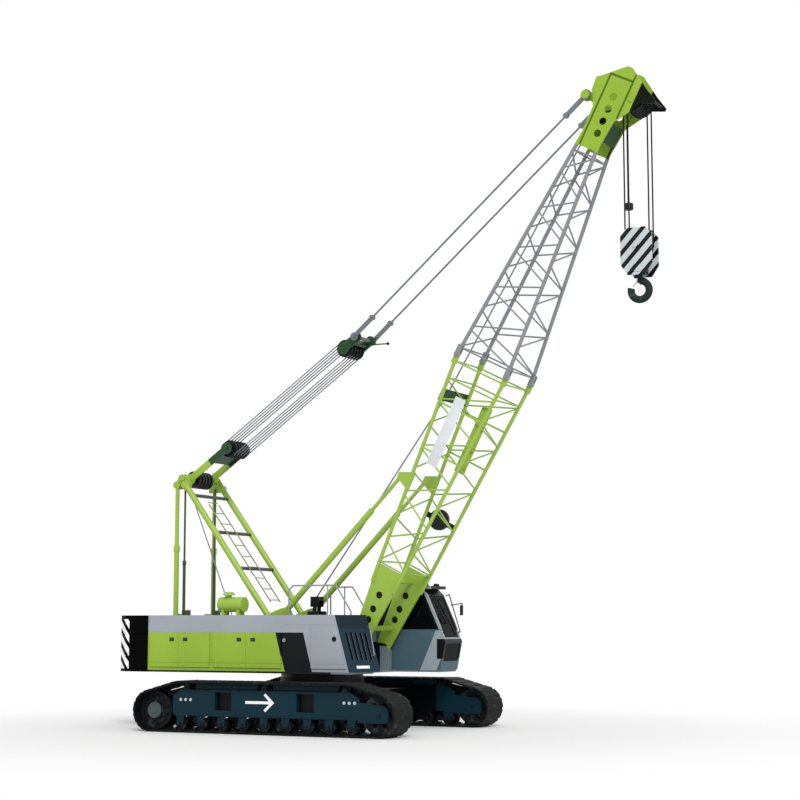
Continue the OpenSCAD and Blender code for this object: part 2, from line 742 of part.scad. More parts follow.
// Front door with a slanting front edge and a round latch
module door_right_front() {
    slant = tan(nose_lean) * (nose_door_hi - door_lo);
    front = nose_x - 60;
    latch = [front - slant * 0.68 - 110, door_lo + 600];
    color("#b0b4bc") difference() {
        side_plate(-house_half + door_t / 2, door_t) polygon([
            [nose_door_x, door_lo], [front, door_lo],
            [front - slant, nose_door_hi], [nose_door_x, nose_door_hi]]);
        cross_bar(latch.x, latch.y, -house_half - 1, -house_half + 12, 42);
    }
    color("#30363a") cross_bar(latch.x, latch.y, -house_half + 4, -house_half + 13, 24);
}

// Diesel engine behind the right-hand doors, one plain block on two bearers
module engine() {
    color("#4a4f52") {
        translate(engine_at) cube(engine_size);
        for (x = [bearer_w, engine_size.x - 2 * bearer_w])
            translate([engine_at.x + x, engine_at.y + bearer_in, deck_top + fit])
                cube([bearer_w, engine_size.y - 2 * bearer_in, engine_at.z - deck_top]);
    }
}
// Air cleaner: a drum on two saddles with a hooded inlet
module air_cleaner() {
    color("#97bc3c") {
        translate([cleaner_x - cleaner_half, cleaner_y, cleaner_z]) rotate([0, 90, 0])
            cylinder(h = 2 * cleaner_half, r = cleaner_r);
        for (s = [-1, 1]) translate([cleaner_x + s * 190 - 35, cleaner_y - 110, house_top + fit])
            cube([70, 220, cleaner_z - house_top - 60]);
        translate([cap_x, cleaner_y, cleaner_z]) cylinder(h = cleaner_r + 70, r = 60);
        translate([cap_x, cleaner_y, cleaner_z + cleaner_r + 40])
            cylinder(h = 70, r1 = 150, r2 = 90);
    }
}

// Winch drum with flanges, on a through shaft
module drum(r, flange_r, half) {
    rotate([90, 0, 0]) cylinder(h = 2 * half, r = r, center = true);
    for (s = [-1, 1]) translate([0, s * (half - 18), 0]) rotate([90, 0, 0])
        cylinder(h = 36, r = flange_r, center = true);
    rotate([90, 0, 0]) cylinder(h = 2 * (girder_in + girder_t - 2), r = drum_shaft_r, center = true);
}
module hoist_drum() { color("#3c4144") translate([drum_x, 0, drum_z]) drum(240, 330, drum_half); }
module boom_hoist_drum() { color("#3c4144") translate([luff_x, 0, luff_z]) drum(200, 290, drum_half); }

// Gantry

// Slanting front legs with three cross bars between them
module gantry_front_legs() {
    foot = [leg_foot_x, leg_y, leg_foot_z];
    top = [leg_top_x, leg_y, leg_top];
    run = top - foot;
    color("#97bc3c") difference() {
        union() {
            both_sides() {
                bar(foot, top, front_leg_r);
                for (p = [foot, top]) cross_bar(p.x, p.z, leg_y - leg_r + 3, leg_y + leg_r - 3, foot_boss);
            }
            for (k = [0.37, 0.64, 0.92])
                cross_bar(foot.x + k * run.x, foot.z + k * run.z, -leg_y, leg_y, 38);
        }
        both_sides() {
            cross_bar(leg_foot_x, leg_foot_z, leg_y - 200, leg_y + 200, foot_r + fit);
            cross_bar(top.x, top.z, leg_y - 200, leg_y + 200, foot_r + fit);
        }
    }
}
// Upright rear legs: a sleeve below and a thinner tube above
module gantry_rear_legs() {
    joint_z = (rear_foot_z + leg_top) / 2;
    color("#97bc3c") difference() {
        both_sides() {
            bar([rear_leg_x, leg_y, rear_foot_z], [rear_leg_x, leg_y, joint_z], leg_r);
            bar([rear_leg_x, leg_y, joint_z - 5], [rear_leg_x, leg_y, joint_z + 130], leg_r + 12);
            bar([rear_leg_x, leg_y, joint_z + 100], [rear_leg_x, leg_y, leg_top], leg_r - 10);
            cross_bar(rear_leg_x, rear_foot_z, leg_y - leg_r + 3, leg_y + leg_r - 3, foot_boss);
            cross_bar(rear_leg_x, leg_top, leg_y - leg_r + 3, leg_y + leg_r - 3, foot_boss);
        }
        both_sides() {
            cross_bar(rear_leg_x, rear_foot_z, leg_y - 200, leg_y + 200, foot_r + fit);
            cross_bar(rear_leg_x, leg_top, leg_y - 200, leg_y + 200, foot_r + fit);
        }
    }
}
// Row of five sheaves, fixed on a shaft
module fall_sheaves() {
    for (i = [-2 : 2]) translate([0, i * fall_step, 0]) sheave(fall_r, fall_sheave_w, fall_shaft_r - 1);
}
// Head of the gantry: side plates on the leg pins, the top shaft and its sheaves
module gantry_head() {
    plate_t = 30;
    plate_y = leg_y - front_leg_r - 4 - plate_t / 2;
    color("#97bc3c") {
        difference() {
            both_sides() side_plate(plate_y, plate_t) polygon([
                [rear_leg_x - 90, leg_top - 90], [gantry_x + 210, leg_top - 90],
                [gantry_x + 220, leg_top + 40], [gantry_x + 90, gantry_z + 90],
                [gantry_x - 90, gantry_z + 90], [rear_leg_x - 90, leg_top + 60]]);
            cross_bar(gantry_x, gantry_z, -1000, 1000, fall_shaft_r - 2);
        }
        both_sides() for (x = [rear_leg_x, leg_top_x])
            cross_bar(x, leg_top, plate_y, leg_y + leg_r + 6, foot_r);
        cross_bar(gantry_x, gantry_z, -plate_y - 40, plate_y + 40, fall_shaft_r);
    }
    color("#22272a") translate([gantry_x, 0, gantry_z]) fall_sheaves();
}

// Grab rail on a house's roof, from its upright rear end to its slanting front end
module roof_rail(y, rear, front) {
    rail_r = 16;
    path = [[rear, y, house_top + fit], [rear, y, rail_hi - 100], [rear + 100, y, rail_hi],
        [front - 360, y, rail_hi], [front, y, house_top + 70], [front, y, house_top + fit]];
    for (i = [0 : len(path) - 2]) bar(path[i], path[i + 1], rail_r, 12);
    bar([front - 560, y, house_top + fit], [front - 560, y, rail_hi], rail_r - 2, 12);
}
module handrails() {
    color("#8d939a") {
        roof_rail(-rail_y, rail_rear, nose_x - 350);
        roof_rail(rail_y, rail_rear, left_front - 40);
    }
}

// Cab

module cab_side(y, t, d) { side_plate(y, t) polygon(inset(cab_outline, d)); }
// Window outlines: side glass, and boxes for the front, rear and roof glass, made smaller by d
module side_window(d) {
    intersection() {
        polygon(inset(cab_outline, cab_rim + d));
        translate([cab_rear + 520 + d, cab_sill + d]) square([2000, 700 - 2 * d]);
    }
}
module front_windows(d) {
    for (z = [[cab_z + 690, cab_top - 190], [cab_z + 190, cab_z + 560]])
        translate([cab_front - 700, cab_in + cab_rim - 20 + d, z[0] + d])
            cube([1000, cab_out - cab_in - 2 * cab_rim + 40 - 2 * d, z[1] - z[0] - 2 * d]);
}
module rear_window(d) {
    translate([cab_rear - 100, cab_in + cab_rim + d, cab_sill + d])
        cube([200, cab_out - cab_in - 2 * cab_rim - 2 * d, 640 - 2 * d]);
}
module cab_shell() {
    color("#1d2226") difference() {
        cab_side((cab_in + cab_out) / 2, cab_out - cab_in, 0);
        cab_side((cab_in + cab_out) / 2, cab_out - cab_in - 2 * cab_wall, cab_wall);
        side_plate(cab_in, 4 * cab_wall) side_window(0);
        front_windows(0);
        rear_window(0);
        translate([cab_door_x + 40, cab_out - 2 * cab_wall, cab_door_lo + 40])
            cube([cab_door_w - 80, 4 * cab_wall, cab_door_hi - cab_door_lo - 80]);
        translate([quarter_x, cab_out - 2 * cab_wall, cab_sill]) cube([quarter_w, 4 * cab_wall, quarter_h]);
    }
    // Visor over the windscreen
    color("#101315") translate([cab_front - 660, cab_in + 40, cab_top - 40])
        cube([290, cab_out - cab_in - 80, 66]);
}
module cab_glass() {
    color("#11181c") {
        intersection() {
            difference() {
                cab_side((cab_in + cab_out) / 2, cab_out - cab_in, glass_in);
                cab_side((cab_in + cab_out) / 2, cab_out - cab_in + 2, glass_in + glass_t);
            }
            union() { front_windows(fit); rear_window(fit); }
        }
        side_plate(cab_in + glass_in + glass_t / 2, glass_t) side_window(fit);
        translate([quarter_x + fit, cab_out - glass_in - glass_t, cab_sill + fit])
            cube([quarter_w - 2 * fit, glass_t, quarter_h - 2 * fit]);
    }
}
// Cab door with a large window, hinged at its rear edge
module cab_door() {
    pane_w = cab_door_w - 2 * cab_door_rim;
    pane_h = cab_door_hi - cab_sill - 90;
    color("#465c68") difference() {
        translate([cab_door_x, cab_out + fit, cab_door_lo])
            cube([cab_door_w, house_half - cab_out - fit, cab_door_hi - cab_door_lo]);
        translate([cab_door_x + cab_door_rim, cab_out - 10, cab_sill]) cube([pane_w, 80, pane_h]);
        translate([cab_door_x + cab_door_w - 150, house_half - 12, cab_sill - 180]) cube([100, 20, 50]);
    }
    color("#11181c") translate([cab_door_x + cab_door_rim + fit, cab_out + 12, cab_sill + fit])
        cube([pane_w - 2 * fit, glass_t, pane_h - 2 * fit]);
}
// Seat between two arm consoles, on a pedestal
module operator_seat() {
    y = (cab_in + cab_out) / 2;
    floor_z = cab_z + cab_wall;
    x = cab_rear + 420;
    color("#202427") {
        translate([x - 160, y - 150, floor_z + fit]) cube([340, 300, 270]);
        translate([x - 250, y - 240, floor_z + 260]) cube([520, 480, 130]);
        translate([x - 250, y - 240, floor_z + 380]) rotate([0, -10, 0]) cube([120, 480, 560]);
        translate([x - 340, y - 130, floor_z + 920]) cube([90, 260, 200]);
        for (s = [-1, 1]) translate([x - 120, y + s * 300 - 60, floor_z + fit]) cube([460, 120, 520]);
    }
}

// Boom

// Four tubes round a lattice, from chord to chord
module lattice_frame(s) {
    for (m = [-1, 1]) {
        bar(chord_at(s, m, -1), chord_at(s, m, 1), lacing_r, lacing_sides);
        bar(chord_at(s, -1, m), chord_at(s, 1, m), lacing_r, lacing_sides);
    }
}
// Zigzag lacing on the four sides of a lattice between s0 and s1, with a frame at both ends.
// The ends of neighbouring tubes stand apart on the chord, as they are welded.
module lacing(s0, s1, bays) {
    step = (s1 - s0) / bays;
    for (i = [0 : bays - 1]) {
        a = s0 + i * step + lacing_toe;
        b = s0 + (i + 1) * step - lacing_toe;
        up = i % 2 == 0 ? 1 : -1;
        for (m = [-1, 1]) {
            bar(chord_at(a, m, -up), chord_at(b, m, up), lacing_r, lacing_sides);
            bar(chord_at(a, -up * m, m), chord_at(b, up * m, m), lacing_r, lacing_sides);
        }
    }
    for (s = [s0, s1]) lattice_frame(s);
}
module chords(s0, s1) {
    for (m = [-1, 1], k = [-1, 1]) bar(chord_at(s0, m, k), chord_at(s1, m, k), chord_r, chord_sides);
}
// Lower section: pinned foot plates, four chords and lacing, and an eye at each chord's end
module boom_base() {
    color("#97bc3c") in_boom() difference() {
        union() {
            both_sides() side_plate(slot_y, foot_plate_t) difference() {
                union() {
                    circle(r = foot_eye_r);
                    polygon([[0, -foot_eye_r], [plate_end, -foot_half_d - 20],
                        [plate_end + 160, -foot_half_d + 30], [plate_end + 160, foot_half_d - 30],
                        [plate_end, foot_half_d + 20], [0, foot_eye_r]]);
                }
                for (s = [700, 950, 1270]) translate([s, 0]) circle(r = 75);
            }
            chords(plate_end - 250, base_len - joint_reach);
            lacing(plate_end + 200, base_len - joint_frame - twin_frame, base_bays);
            lattice_frame(base_len - joint_frame);
            for (s = [500, plate_end - 100]) bar([s, -slot_y, 0], [s, slot_y, 0], 55, 12);
            for (m = [-1, 1], k = [-1, 1]) joint_eye(m, k);
            // Twin lugs on the back chords for the backstops' eyes
            both_sides() for (s = [-1, 1]) side_plate(slot_y + s * 40, 24) polygon([
                [stop_s - 190, half_d(stop_s)], [stop_s + 190, half_d(stop_s)],
                [stop_s + 60, stop_n + 60], [stop_s - 60, stop_n + 60]]);
            both_sides() translate([stop_s - 190, slot_y - 52, half_d(stop_s) - 24])
                cube([380, 104, 48]);
        }
        cross_bar(0, 0, -slot_y - 200, slot_y + 200, foot_pin_r + fit);
        for (k = [-1, 1]) cross_bar(base_len, k * boom_half_d, -1000, 1000, joint_pin_r);
    }
}
module joint_eye(m, k) {
    eye_back = 200;
    side_plate(m * boom_half_w, joint_t) {
        translate([base_len, k * boom_half_d]) circle(r = joint_boss);
        translate([base_len - eye_back, k * boom_half_d - joint_boss + (k > 0 ? 0 : 12)])
            square([eye_back, 2 * joint_boss - 12]);
    }
}
// Upper section: forks with pins on the lower section's eyes, tapering in width and depth
module boom_top() {
    fork_t = 26;
    color("#6a6f73") in_boom() {
        chords(base_len + joint_reach, head_joint);
        lacing(base_len + joint_frame, head_base - 60, top_bays);
        for (m = [-1, 1], k = [-1, 1]) {
            for (s = [-1, 1]) side_plate(m * boom_half_w + s * (joint_t / 2 + fit + fork_t / 2), fork_t) {
                translate([base_len, k * boom_half_d]) circle(r = joint_boss - 4);
                translate([base_len, k * boom_half_d - joint_boss + 4 + (k > 0 ? 0 : 10)])
                    square([210, 2 * joint_boss - 18]);
            }
            cross_bar(base_len, k * boom_half_d, m * boom_half_w - joint_t / 2 - fork_t - 14,
                m * boom_half_w + joint_t / 2 + fork_t + 14, joint_pin_r - fit);
        }
    }
}
// Head: two side plates with four holes, a floor plate, the pendants' bar and guards
module head_outline() {
    polygon([[head_base + 70, 230], [head_s - 400, 240], [head_s - 90, 420], [head_s + 180, 440],
        [head_s + 250, 330], [head_s + 600, -120], [head_s + 590, -230], [head_s + 300, -690],
        [head_s + 150, -980], [head_s + 90, -980], [head_s - 10, -700], [head_s - 230, -560],
        [head_s - 550, -330], [head_base + 70, -250]]);
}
module boom_head() {
    color("#97bc3c") in_boom() {
        both_sides() side_plate(head_half_w, head_t) {
            difference() {
                head_outline();
                for (i = [0 : 3]) translate([head_s - 880 + i * 265, -100]) circle(r = jib_pin_r);
            }
            translate([pendant_s, pendant_n]) circle(r = 110);
        }
        for (m = [-1, 1], k = [-1, 1])
            bar(chord_at(head_joint + fit, m, k), chord_at(head_base + 330, m, k), chord_r, chord_sides);
        translate([head_base + 300, -head_half_w, head_floor_n]) cube([head_floor_len, 2 * head_half_w, 24]);
        translate([head_base + 300, -head_half_w, head_back_n]) cube([600, 2 * head_half_w, 24]);
        // Pendant bar, with a collar on each side of an eye
        cross_bar(pendant_s, pendant_n, -collar_end, collar_end, pendant_bar_r);
        both_sides() {
            cross_bar(pendant_s, pendant_n, head_half_w, pendant_y - link_t / 2 - fit, collar_r);
            cross_bar(pendant_s, pendant_n, pendant_y + link_t / 2 + fit, collar_end, collar_r);
        }
        cross_bar(head_s + 470, -180, -head_half_w, head_half_w, 40);
        cross_bar(head_s + 130, -900, -head_half_w, head_half_w, 30);
        cross_bar(head_s, sheave_n, -head_half_w - 40, head_half_w + 40, head_shaft_r);
    }
}
// Sheaves of the head, turning on one shaft
module head_sheaves() {
    color("#22272a") in_boom() translate([head_s, 0, sheave_n])
        for (i = [-2 : 2]) translate([0, i * sheave_step, 0]) sheave(sheave_r, sheave_w, head_shaft_r + fit);
}
// Spring reel for the load sensor's cable, on the boom's left side
module cable_reel() {
    y = boom_half_w + chord_r + fit + 20;
    color("#17191b") in_boom() {
        difference() {
            cross_bar(reel_s, reel_n, y, y + 90, reel_r);
            cross_bar(reel_s, reel_n, y + 60, y + 95, reel_r - 40);
        }
        cross_bar(reel_s, reel_n, y + 50, y + 110, 60);
        translate([reel_s - 60, y - 20, -half_d(reel_s)]) cube([120, 21, 2 * half_d(reel_s)]);
    }
}

// Rigging

// Bail on the gantry's shaft with the lower sheaves of the boom hoist falls
module bail() {
    arm_t = 40;
    arm_y = 380;
    color("#97bc3c") in_falls() {
        difference() {
            both_sides() side_plate(arm_y, arm_t) {
                circle(r = 120);
                translate([0, -75]) square([bail_len, 150]);
                translate([bail_len, 0]) circle(r = 130);
            }
            cross_bar(0, 0, -1000, 1000, fall_shaft_r + fit);
        }
        translate([bail_len - fall_r - 310, -arm_y, -25]) cube([290, 2 * arm_y, 50]);
        cross_bar(bail_len, 0, -arm_y - 50, arm_y + 50, fall_shaft_r);
    }
    color("#22272a") in_falls() translate([bail_len, 0, 0]) fall_sheaves();
}
// Spreader: sheave block at the falls' upper end, with a bored head for the pendants' pin
module spreader() {
    color("#2f4a34") in_falls() translate([fall_len, 0, 0]) difference() {
        union() {
            both_sides() side_plate(310, 36) {
                circle(r = 110);
                translate([-spreader_back, -100]) square([spreader_back, 200]);
                translate([-spreader_back, 0]) circle(r = 140);
            }
            translate([-170, -310, -70]) cube([60, 620, 140]);
            cross_bar(-spreader_back, 0, -345, 345, fall_shaft_r);
        }
        cross_bar(0, 0, -1000, 1000, pendant_pin_r + fit);
    }
    color("#22272a") in_falls() translate([fall_len - spreader_back, 0, 0]) fall_sheaves();
}
// Two pendant ropes with link plates at both ends, on one pin through the spreader
module pendants() {
    link = 620;
    rope_r = 20;
    eye_r = pendant_bar_r + 17;
    color("#6b7075") translate([spreader_x, 0, spreader_z]) rotate([0, -pendant_angle, 0]) {
        both_sides() {
            side_plate(pendant_y, link_t) difference() {
                union() {
                    circle(r = 85);
                    translate([0, -45]) square([link, 90]);
                    translate([pendant_len - link, -45]) square([link, 90]);
                    translate([pendant_len, 0]) circle(r = 115);
                }
                translate([pendant_len, 0]) circle(r = eye_r);
            }
            bar([link - 60, pendant_y, 0], [pendant_len - link + 60, pendant_y, 0], rope_r);
            for (x = [link - 40, pendant_len - link + 40])
                cross_bar(x, 0, pendant_y - 42, pendant_y + 42, 55);
        }
        cross_bar(0, 0, -pendant_y - 45, pendant_y + 45, pendant_pin_r);
    }
}
// Backstops: tubes hinged on the girders, with rods that run in them up to the boom's back
module in_stop() {
    translate([stop_x, 0, stop_z]) rotate([0, -stop_angle, 0]) children();
}
module backstop_tubes() {
    color("#97bc3c") in_stop() both_sides() difference() {
        union() {
            bar([140, slot_y, 0], [stop_tube, slot_y, 0], stop_r);
            side_plate(slot_y, foot_plate_t) {
                circle(r = 80);
                translate([0, -50]) square([220, 100]);
            }
        }
        bar([300, slot_y, 0], [stop_tube + 1, slot_y, 0], stop_rod_r + fit);
        cross_bar(0, 0, slot_y - 200, slot_y + 200, foot_r + fit);
    }
}
module backstop_rods() {
    color("#7c8288") in_stop() both_sides() difference() {
        union() {
            bar([stop_tube - stop_rod_in, slot_y, 0], [stop_len - stop_flat, slot_y, 0], stop_rod_r);
            side_plate(slot_y, stop_eye_t) {
                translate([stop_len, 0]) circle(r = stop_eye_r);
                translate([stop_len - stop_flat - 60, -stop_flat_h / 2])
                    square([stop_flat + 60, stop_flat_h]);
            }
        }
        cross_bar(stop_len, 0, slot_y - 200, slot_y + 200, 30);
    }
}

// Hook

// Hoist rope falls between the head's sheaves and the block's; round one of them hangs the overhoist weight,
// on a line from the head's shaft between two sheaves
module hoist_falls() {
    shaft = [hook_x, line_y, head_pin.y];
    bend = [hook_x - fall_x, line_y, head_pin.y - 420];
    lean = (bend - shaft) / norm(bend - shaft);
    color("#15181a") {
        for (s = [-1, 1], m = [-1, 1])
            translate([hook_x + s * fall_x, m * sheave_step, block_axle_z])
                cylinder(h = head_pin.y - block_axle_z, r = hoist_rope_r);
        difference() {
            translate([hook_x - fall_x, sheave_step, weight_z - 70]) cylinder(h = 140, r = 90);
            translate([hook_x - fall_x, sheave_step, weight_z - 71])
                cylinder(h = 142, r = hoist_rope_r + clear);
        }
        bar([bend.x, bend.y, weight_z], bend, line_r);
        bar(bend + line_r * lean, shaft + (head_shaft_r + fit) * lean, line_r);
    }
}
// Block: two cheek plates, sheaves between them and a trunnion for the hook
module hook_block() {
    half = block_w / 2;
    color("#111316") {
        both_sides() side_plate(cheek_y, cheek_t) polygon([
            [hook_x - half, block_z - block_h / 2 + 220], [hook_x - half + 150, block_z - block_h / 2],
            [hook_x + half - 150, block_z - block_h / 2], [hook_x + half, block_z - block_h / 2 + 220],
            [hook_x + half, block_z + block_h / 2 - 160], [hook_x + half - 130, block_z + block_h / 2],
            [hook_x - half + 130, block_z + block_h / 2], [hook_x - half, block_z + block_h / 2 - 160]]);
        cross_bar(hook_x, block_axle_z, -cheek_y - 50, cheek_y + 50, block_axle_r);
        difference() {
            translate([hook_x - 120, -cheek_y - 40, trunnion_z - 70]) cube([240, 2 * cheek_y + 80, 140]);
            translate([hook_x, 0, trunnion_z - 80]) cylinder(h = 160, r = hook_tube + fit);
        }
    }
    color("#22272a") for (m = [-1, 1]) translate([hook_x, m * sheave_step, block_axle_z])
        sheave(sheave_r, sheave_w, block_axle_r - 1);
}
// Forged hook on a swivel shank
module hook() {
    color("#3a4245") {
        translate([hook_x, 0, trunnion_z + 70 + fit]) cylinder(h = 60, r = 90);
        translate([hook_x, 0, throat_z + 150]) cylinder(h = trunnion_z + 80 - throat_z - 150, r = hook_tube);
        translate([hook_x, 0, throat_z]) rotate([90, 0, 0]) rotate_extrude(angle = 285, start = 165)
            translate([throat_r + bow_r, 0]) circle(r = bow_r);
    }
}

carbody();
slew_ring();
track_frame_right();
track_frame_left();
track_right();
track_left();
sprockets();
idlers();
track_rollers();
travel_drives();
slewing_frame();
counterweight();
house_right();
house_left();
engine();
air_cleaner();
door_right_1();
door_right_2();
door_right_3();
door_right_4();
door_right_front();
door_left_1();
door_left_2();
hoist_drum();
boom_hoist_drum();
gantry_front_legs();
gantry_rear_legs();
gantry_head();
handrails();
cab_shell();
cab_glass();
cab_door();
operator_seat();
boom_base();
boom_top();
boom_head();
head_sheaves();
cable_reel();
bail();
spreader();
pendants();
backstop_tubes();
backstop_rods();
hoist_falls();
hook_block();
hook();
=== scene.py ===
"""Finishes and fittings of a lattice-boom crawler crane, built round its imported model, in metres.

X points to the front, Y to the left and Z up; the slewing axis stands on the origin.
"""
import math

import bmesh
import bpy
from mathutils import Matrix, Vector


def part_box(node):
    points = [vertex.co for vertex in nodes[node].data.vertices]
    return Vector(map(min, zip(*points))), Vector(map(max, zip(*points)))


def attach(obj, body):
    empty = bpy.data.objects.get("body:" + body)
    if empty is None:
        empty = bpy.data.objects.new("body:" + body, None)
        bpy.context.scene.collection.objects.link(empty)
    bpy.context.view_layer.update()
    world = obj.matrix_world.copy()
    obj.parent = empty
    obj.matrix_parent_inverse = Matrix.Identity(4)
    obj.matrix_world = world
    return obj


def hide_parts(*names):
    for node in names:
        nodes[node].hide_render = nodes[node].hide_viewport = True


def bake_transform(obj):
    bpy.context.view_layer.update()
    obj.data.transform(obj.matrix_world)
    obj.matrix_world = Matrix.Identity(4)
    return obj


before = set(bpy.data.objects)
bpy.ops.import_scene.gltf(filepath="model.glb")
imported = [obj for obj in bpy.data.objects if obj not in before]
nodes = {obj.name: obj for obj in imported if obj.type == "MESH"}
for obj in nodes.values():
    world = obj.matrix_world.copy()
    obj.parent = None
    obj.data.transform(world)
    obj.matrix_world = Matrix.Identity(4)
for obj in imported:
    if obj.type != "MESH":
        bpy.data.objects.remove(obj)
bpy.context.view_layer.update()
scene = bpy.context.scene
scene.view_settings.view_transform = "Standard"


# Camera: it stands low on the machine's right, ahead of it, and looks up along the boom.
# Place, turn and focal length were fitted to the tracks, the house, the boom and the gantry.
CAMERA_PLACE = (19.129, -33.534, 2.208)
CAMERA_TURN = math.radians(27.232)
CAMERA_TILT = math.radians(7.181)
FOCAL_MM = 80.12
SENSOR_MM = 36.0
camera_data = bpy.data.cameras.new("camera")
camera_data.sensor_width = SENSOR_MM
camera_data.lens = FOCAL_MM
camera_data.clip_end = 500
camera = bpy.data.objects.new("camera", camera_data)
camera.location = CAMERA_PLACE
camera.rotation_euler = (math.pi / 2 + CAMERA_TILT, 0, CAMERA_TURN)
scene.collection.objects.link(camera)
scene.camera = camera


# Studio: a pale floor that keeps the machine's shadow and goes over into a white surround.
# The surround is white to the eye and in reflections; as a lamp it is weaker, and a soft sun adds the rest.
def linear(shade):
    """Linear colour of an sRGB hex value."""
    parts = [int(shade[i:i + 2], 16) / 255 for i in (1, 3, 5)]
    return [c / 12.92 if c <= 0.04045 else ((c + 0.055) / 1.055) ** 2.4 for c in parts] + [1.0]


def add(tree, kind, inputs=None, **settings):
    """Adds a shader node with its settings; an input is a value or another node's output."""
    made = tree.nodes.new(kind)
    for name, value in settings.items():
        setattr(made, name, value)
    for name, value in (inputs or {}).items():
        if isinstance(value, bpy.types.NodeSocket):
            tree.links.new(value, made.inputs[name])
        else:
            made.inputs[name].default_value = value
    return made


WHITE = linear("#FFFFFF")
SURROUND_LIGHT = 0.62
FLOOR_REACH = 90.0
FLOOR_SHADE_IN = 5.5
FLOOR_SHADE_OUT = 13.0
SUN_STRENGTH = 1.75
SUN_SPREAD = math.radians(20)
SUN_FROM = Vector((0.50, -0.72, 0.66))

world = bpy.data.worlds.new("white surround")
scene.world = world
world.use_nodes = True
tree = world.node_tree
tree.nodes.clear()
ray = add(tree, "ShaderNodeLightPath")
seen = ray.outputs["Is Camera Ray"]
for kind in ("Is Glossy Ray", "Is Transmission Ray"):
    seen = add(tree, "ShaderNodeMath", {0: seen, 1: ray.outputs[kind]}, operation="MAXIMUM").outputs[0]
level = add(tree, "ShaderNodeMapRange", {"Value": seen, "To Min": SURROUND_LIGHT, "To Max": 1.0})
sky = add(tree, "ShaderNodeBackground", {"Color": WHITE, "Strength": level.outputs[0]})
add(tree, "ShaderNodeOutputWorld", {"Surface": sky.outputs[0]})

bm = bmesh.new()
bmesh.ops.create_circle(bm, cap_ends=True, segments=96, radius=FLOOR_REACH)
floor_mesh = bpy.data.meshes.new("floor")
bm.to_mesh(floor_mesh)
bm.free()
floor = bpy.data.objects.new("floor", floor_mesh)
scene.collection.objects.link(floor)

floor_paint = bpy.data.materials.new("matt white floor")
floor_paint.use_nodes = True
tree = floor_paint.node_tree
matt = tree.nodes["Principled BSDF"]
matt.inputs["Base Color"].default_value = linear("#F6F6F6")
matt.inputs["Roughness"].default_value = 0.9
where = add(tree, "ShaderNodeTexCoord")
reach = add(tree, "ShaderNodeVectorMath", {0: where.outputs["Object"]}, operation="LENGTH")
away = add(tree, "ShaderNodeMapRange", {
    "Value": reach.outputs["Value"], "From Min": FLOOR_SHADE_IN, "From Max": FLOOR_SHADE_OUT},
    interpolation_type="SMOOTHSTEP")
ray = add(tree, "ShaderNodeLightPath")
hidden = add(tree, "ShaderNodeMath", {0: away.outputs[0], 1: ray.outputs["Is Camera Ray"]},
             operation="MULTIPLY")
white = add(tree, "ShaderNodeEmission", {"Color": WHITE, "Strength": 1.0})
both = add(tree, "ShaderNodeMixShader", {0: hidden.outputs[0], 1: matt.outputs[0], 2: white.outputs[0]})
tree.links.new(both.outputs[0], tree.nodes["Material Output"].inputs["Surface"])
floor.data.materials.append(floor_paint)

sun_lamp = bpy.data.lights.new("soft sun", "SUN")
sun_lamp.energy = SUN_STRENGTH
sun_lamp.angle = SUN_SPREAD
sun = bpy.data.objects.new("soft sun", sun_lamp)
sun.rotation_euler = SUN_FROM.to_track_quat("Z", "Y").to_euler()
scene.collection.objects.link(sun)


# Tracks: endless chains of flat cast shoes, each with a drive lug, over a sprocket, an idler and rollers.
# Cast manganese steel, black with oil and soil, rubbed bright only where metal meets metal.
def dress(material, *names):
    """Gives CAD nodes their material."""
    for name in names:
        slots = nodes[name].data.materials
        slots.clear()
        slots.append(material)


def start(name):
    """A new material with its node tree, its shader and the object coordinates."""
    made = bpy.data.materials.new(name)
    made.use_nodes = True
    coordinates = add(made.node_tree, "ShaderNodeTexCoord")
    return made, made.node_tree, made.node_tree.nodes["Principled BSDF"], coordinates.outputs["Object"]


def per_mm(size):
    """Scale of a pattern whose grain has this size in millimetres."""
    return 1000 / size


def cast_steel(name, dark, rubbed, rubbed_share):
    """Rough casting or forging, left as it came from the mould or the die.

    The eye sees a dull skin with rubbed patches a hand wide; its pits are drawn coarser, to show."""
    made, tree, shader, where = start(name)
    patches = add(tree, "ShaderNodeTexNoise", {
        "Vector": where, "Scale": per_mm(160), "Detail": 6.0, "Roughness": 0.65})
    share = add(tree, "ShaderNodeMapRange", {
        "Value": patches.outputs["Fac"], "From Min": 0.62 - rubbed_share, "From Max": 0.78 - rubbed_share})
    colour = add(tree, "ShaderNodeMix", {0: share.outputs[0], 6: linear(dark), 7: linear(rubbed)},
                 data_type="RGBA")
    gloss = add(tree, "ShaderNodeMapRange", {"Value": share.outputs[0], "To Min": 0.72, "To Max": 0.42})
    pits = add(tree, "ShaderNodeTexNoise", {"Vector": where, "Scale": per_mm(20), "Detail": 3.0})
    relief = add(tree, "ShaderNodeBump", {"Height": pits.outputs["Fac"], "Strength": 0.35, "Distance": 0.004})
    tree.links.new(colour.outputs[2], shader.inputs["Base Color"])
    tree.links.new(gloss.outputs[0], shader.inputs["Roughness"])
    tree.links.new(relief.outputs[0], shader.inputs["Normal"])
    shader.inputs["Metallic"].default_value = 0.35
    shader.inputs["Specular IOR Level"].default_value = 0.25
    return made


shoe_steel = cast_steel("cast shoe steel", "#08090B", "#2E3134", 0.06)
roller_steel = cast_steel("cast roller steel", "#0B0F12", "#3A4043", 0.10)
dress(shoe_steel, "track_right", "track_left")
dress(roller_steel, "sprockets", "idlers", "track_rollers")


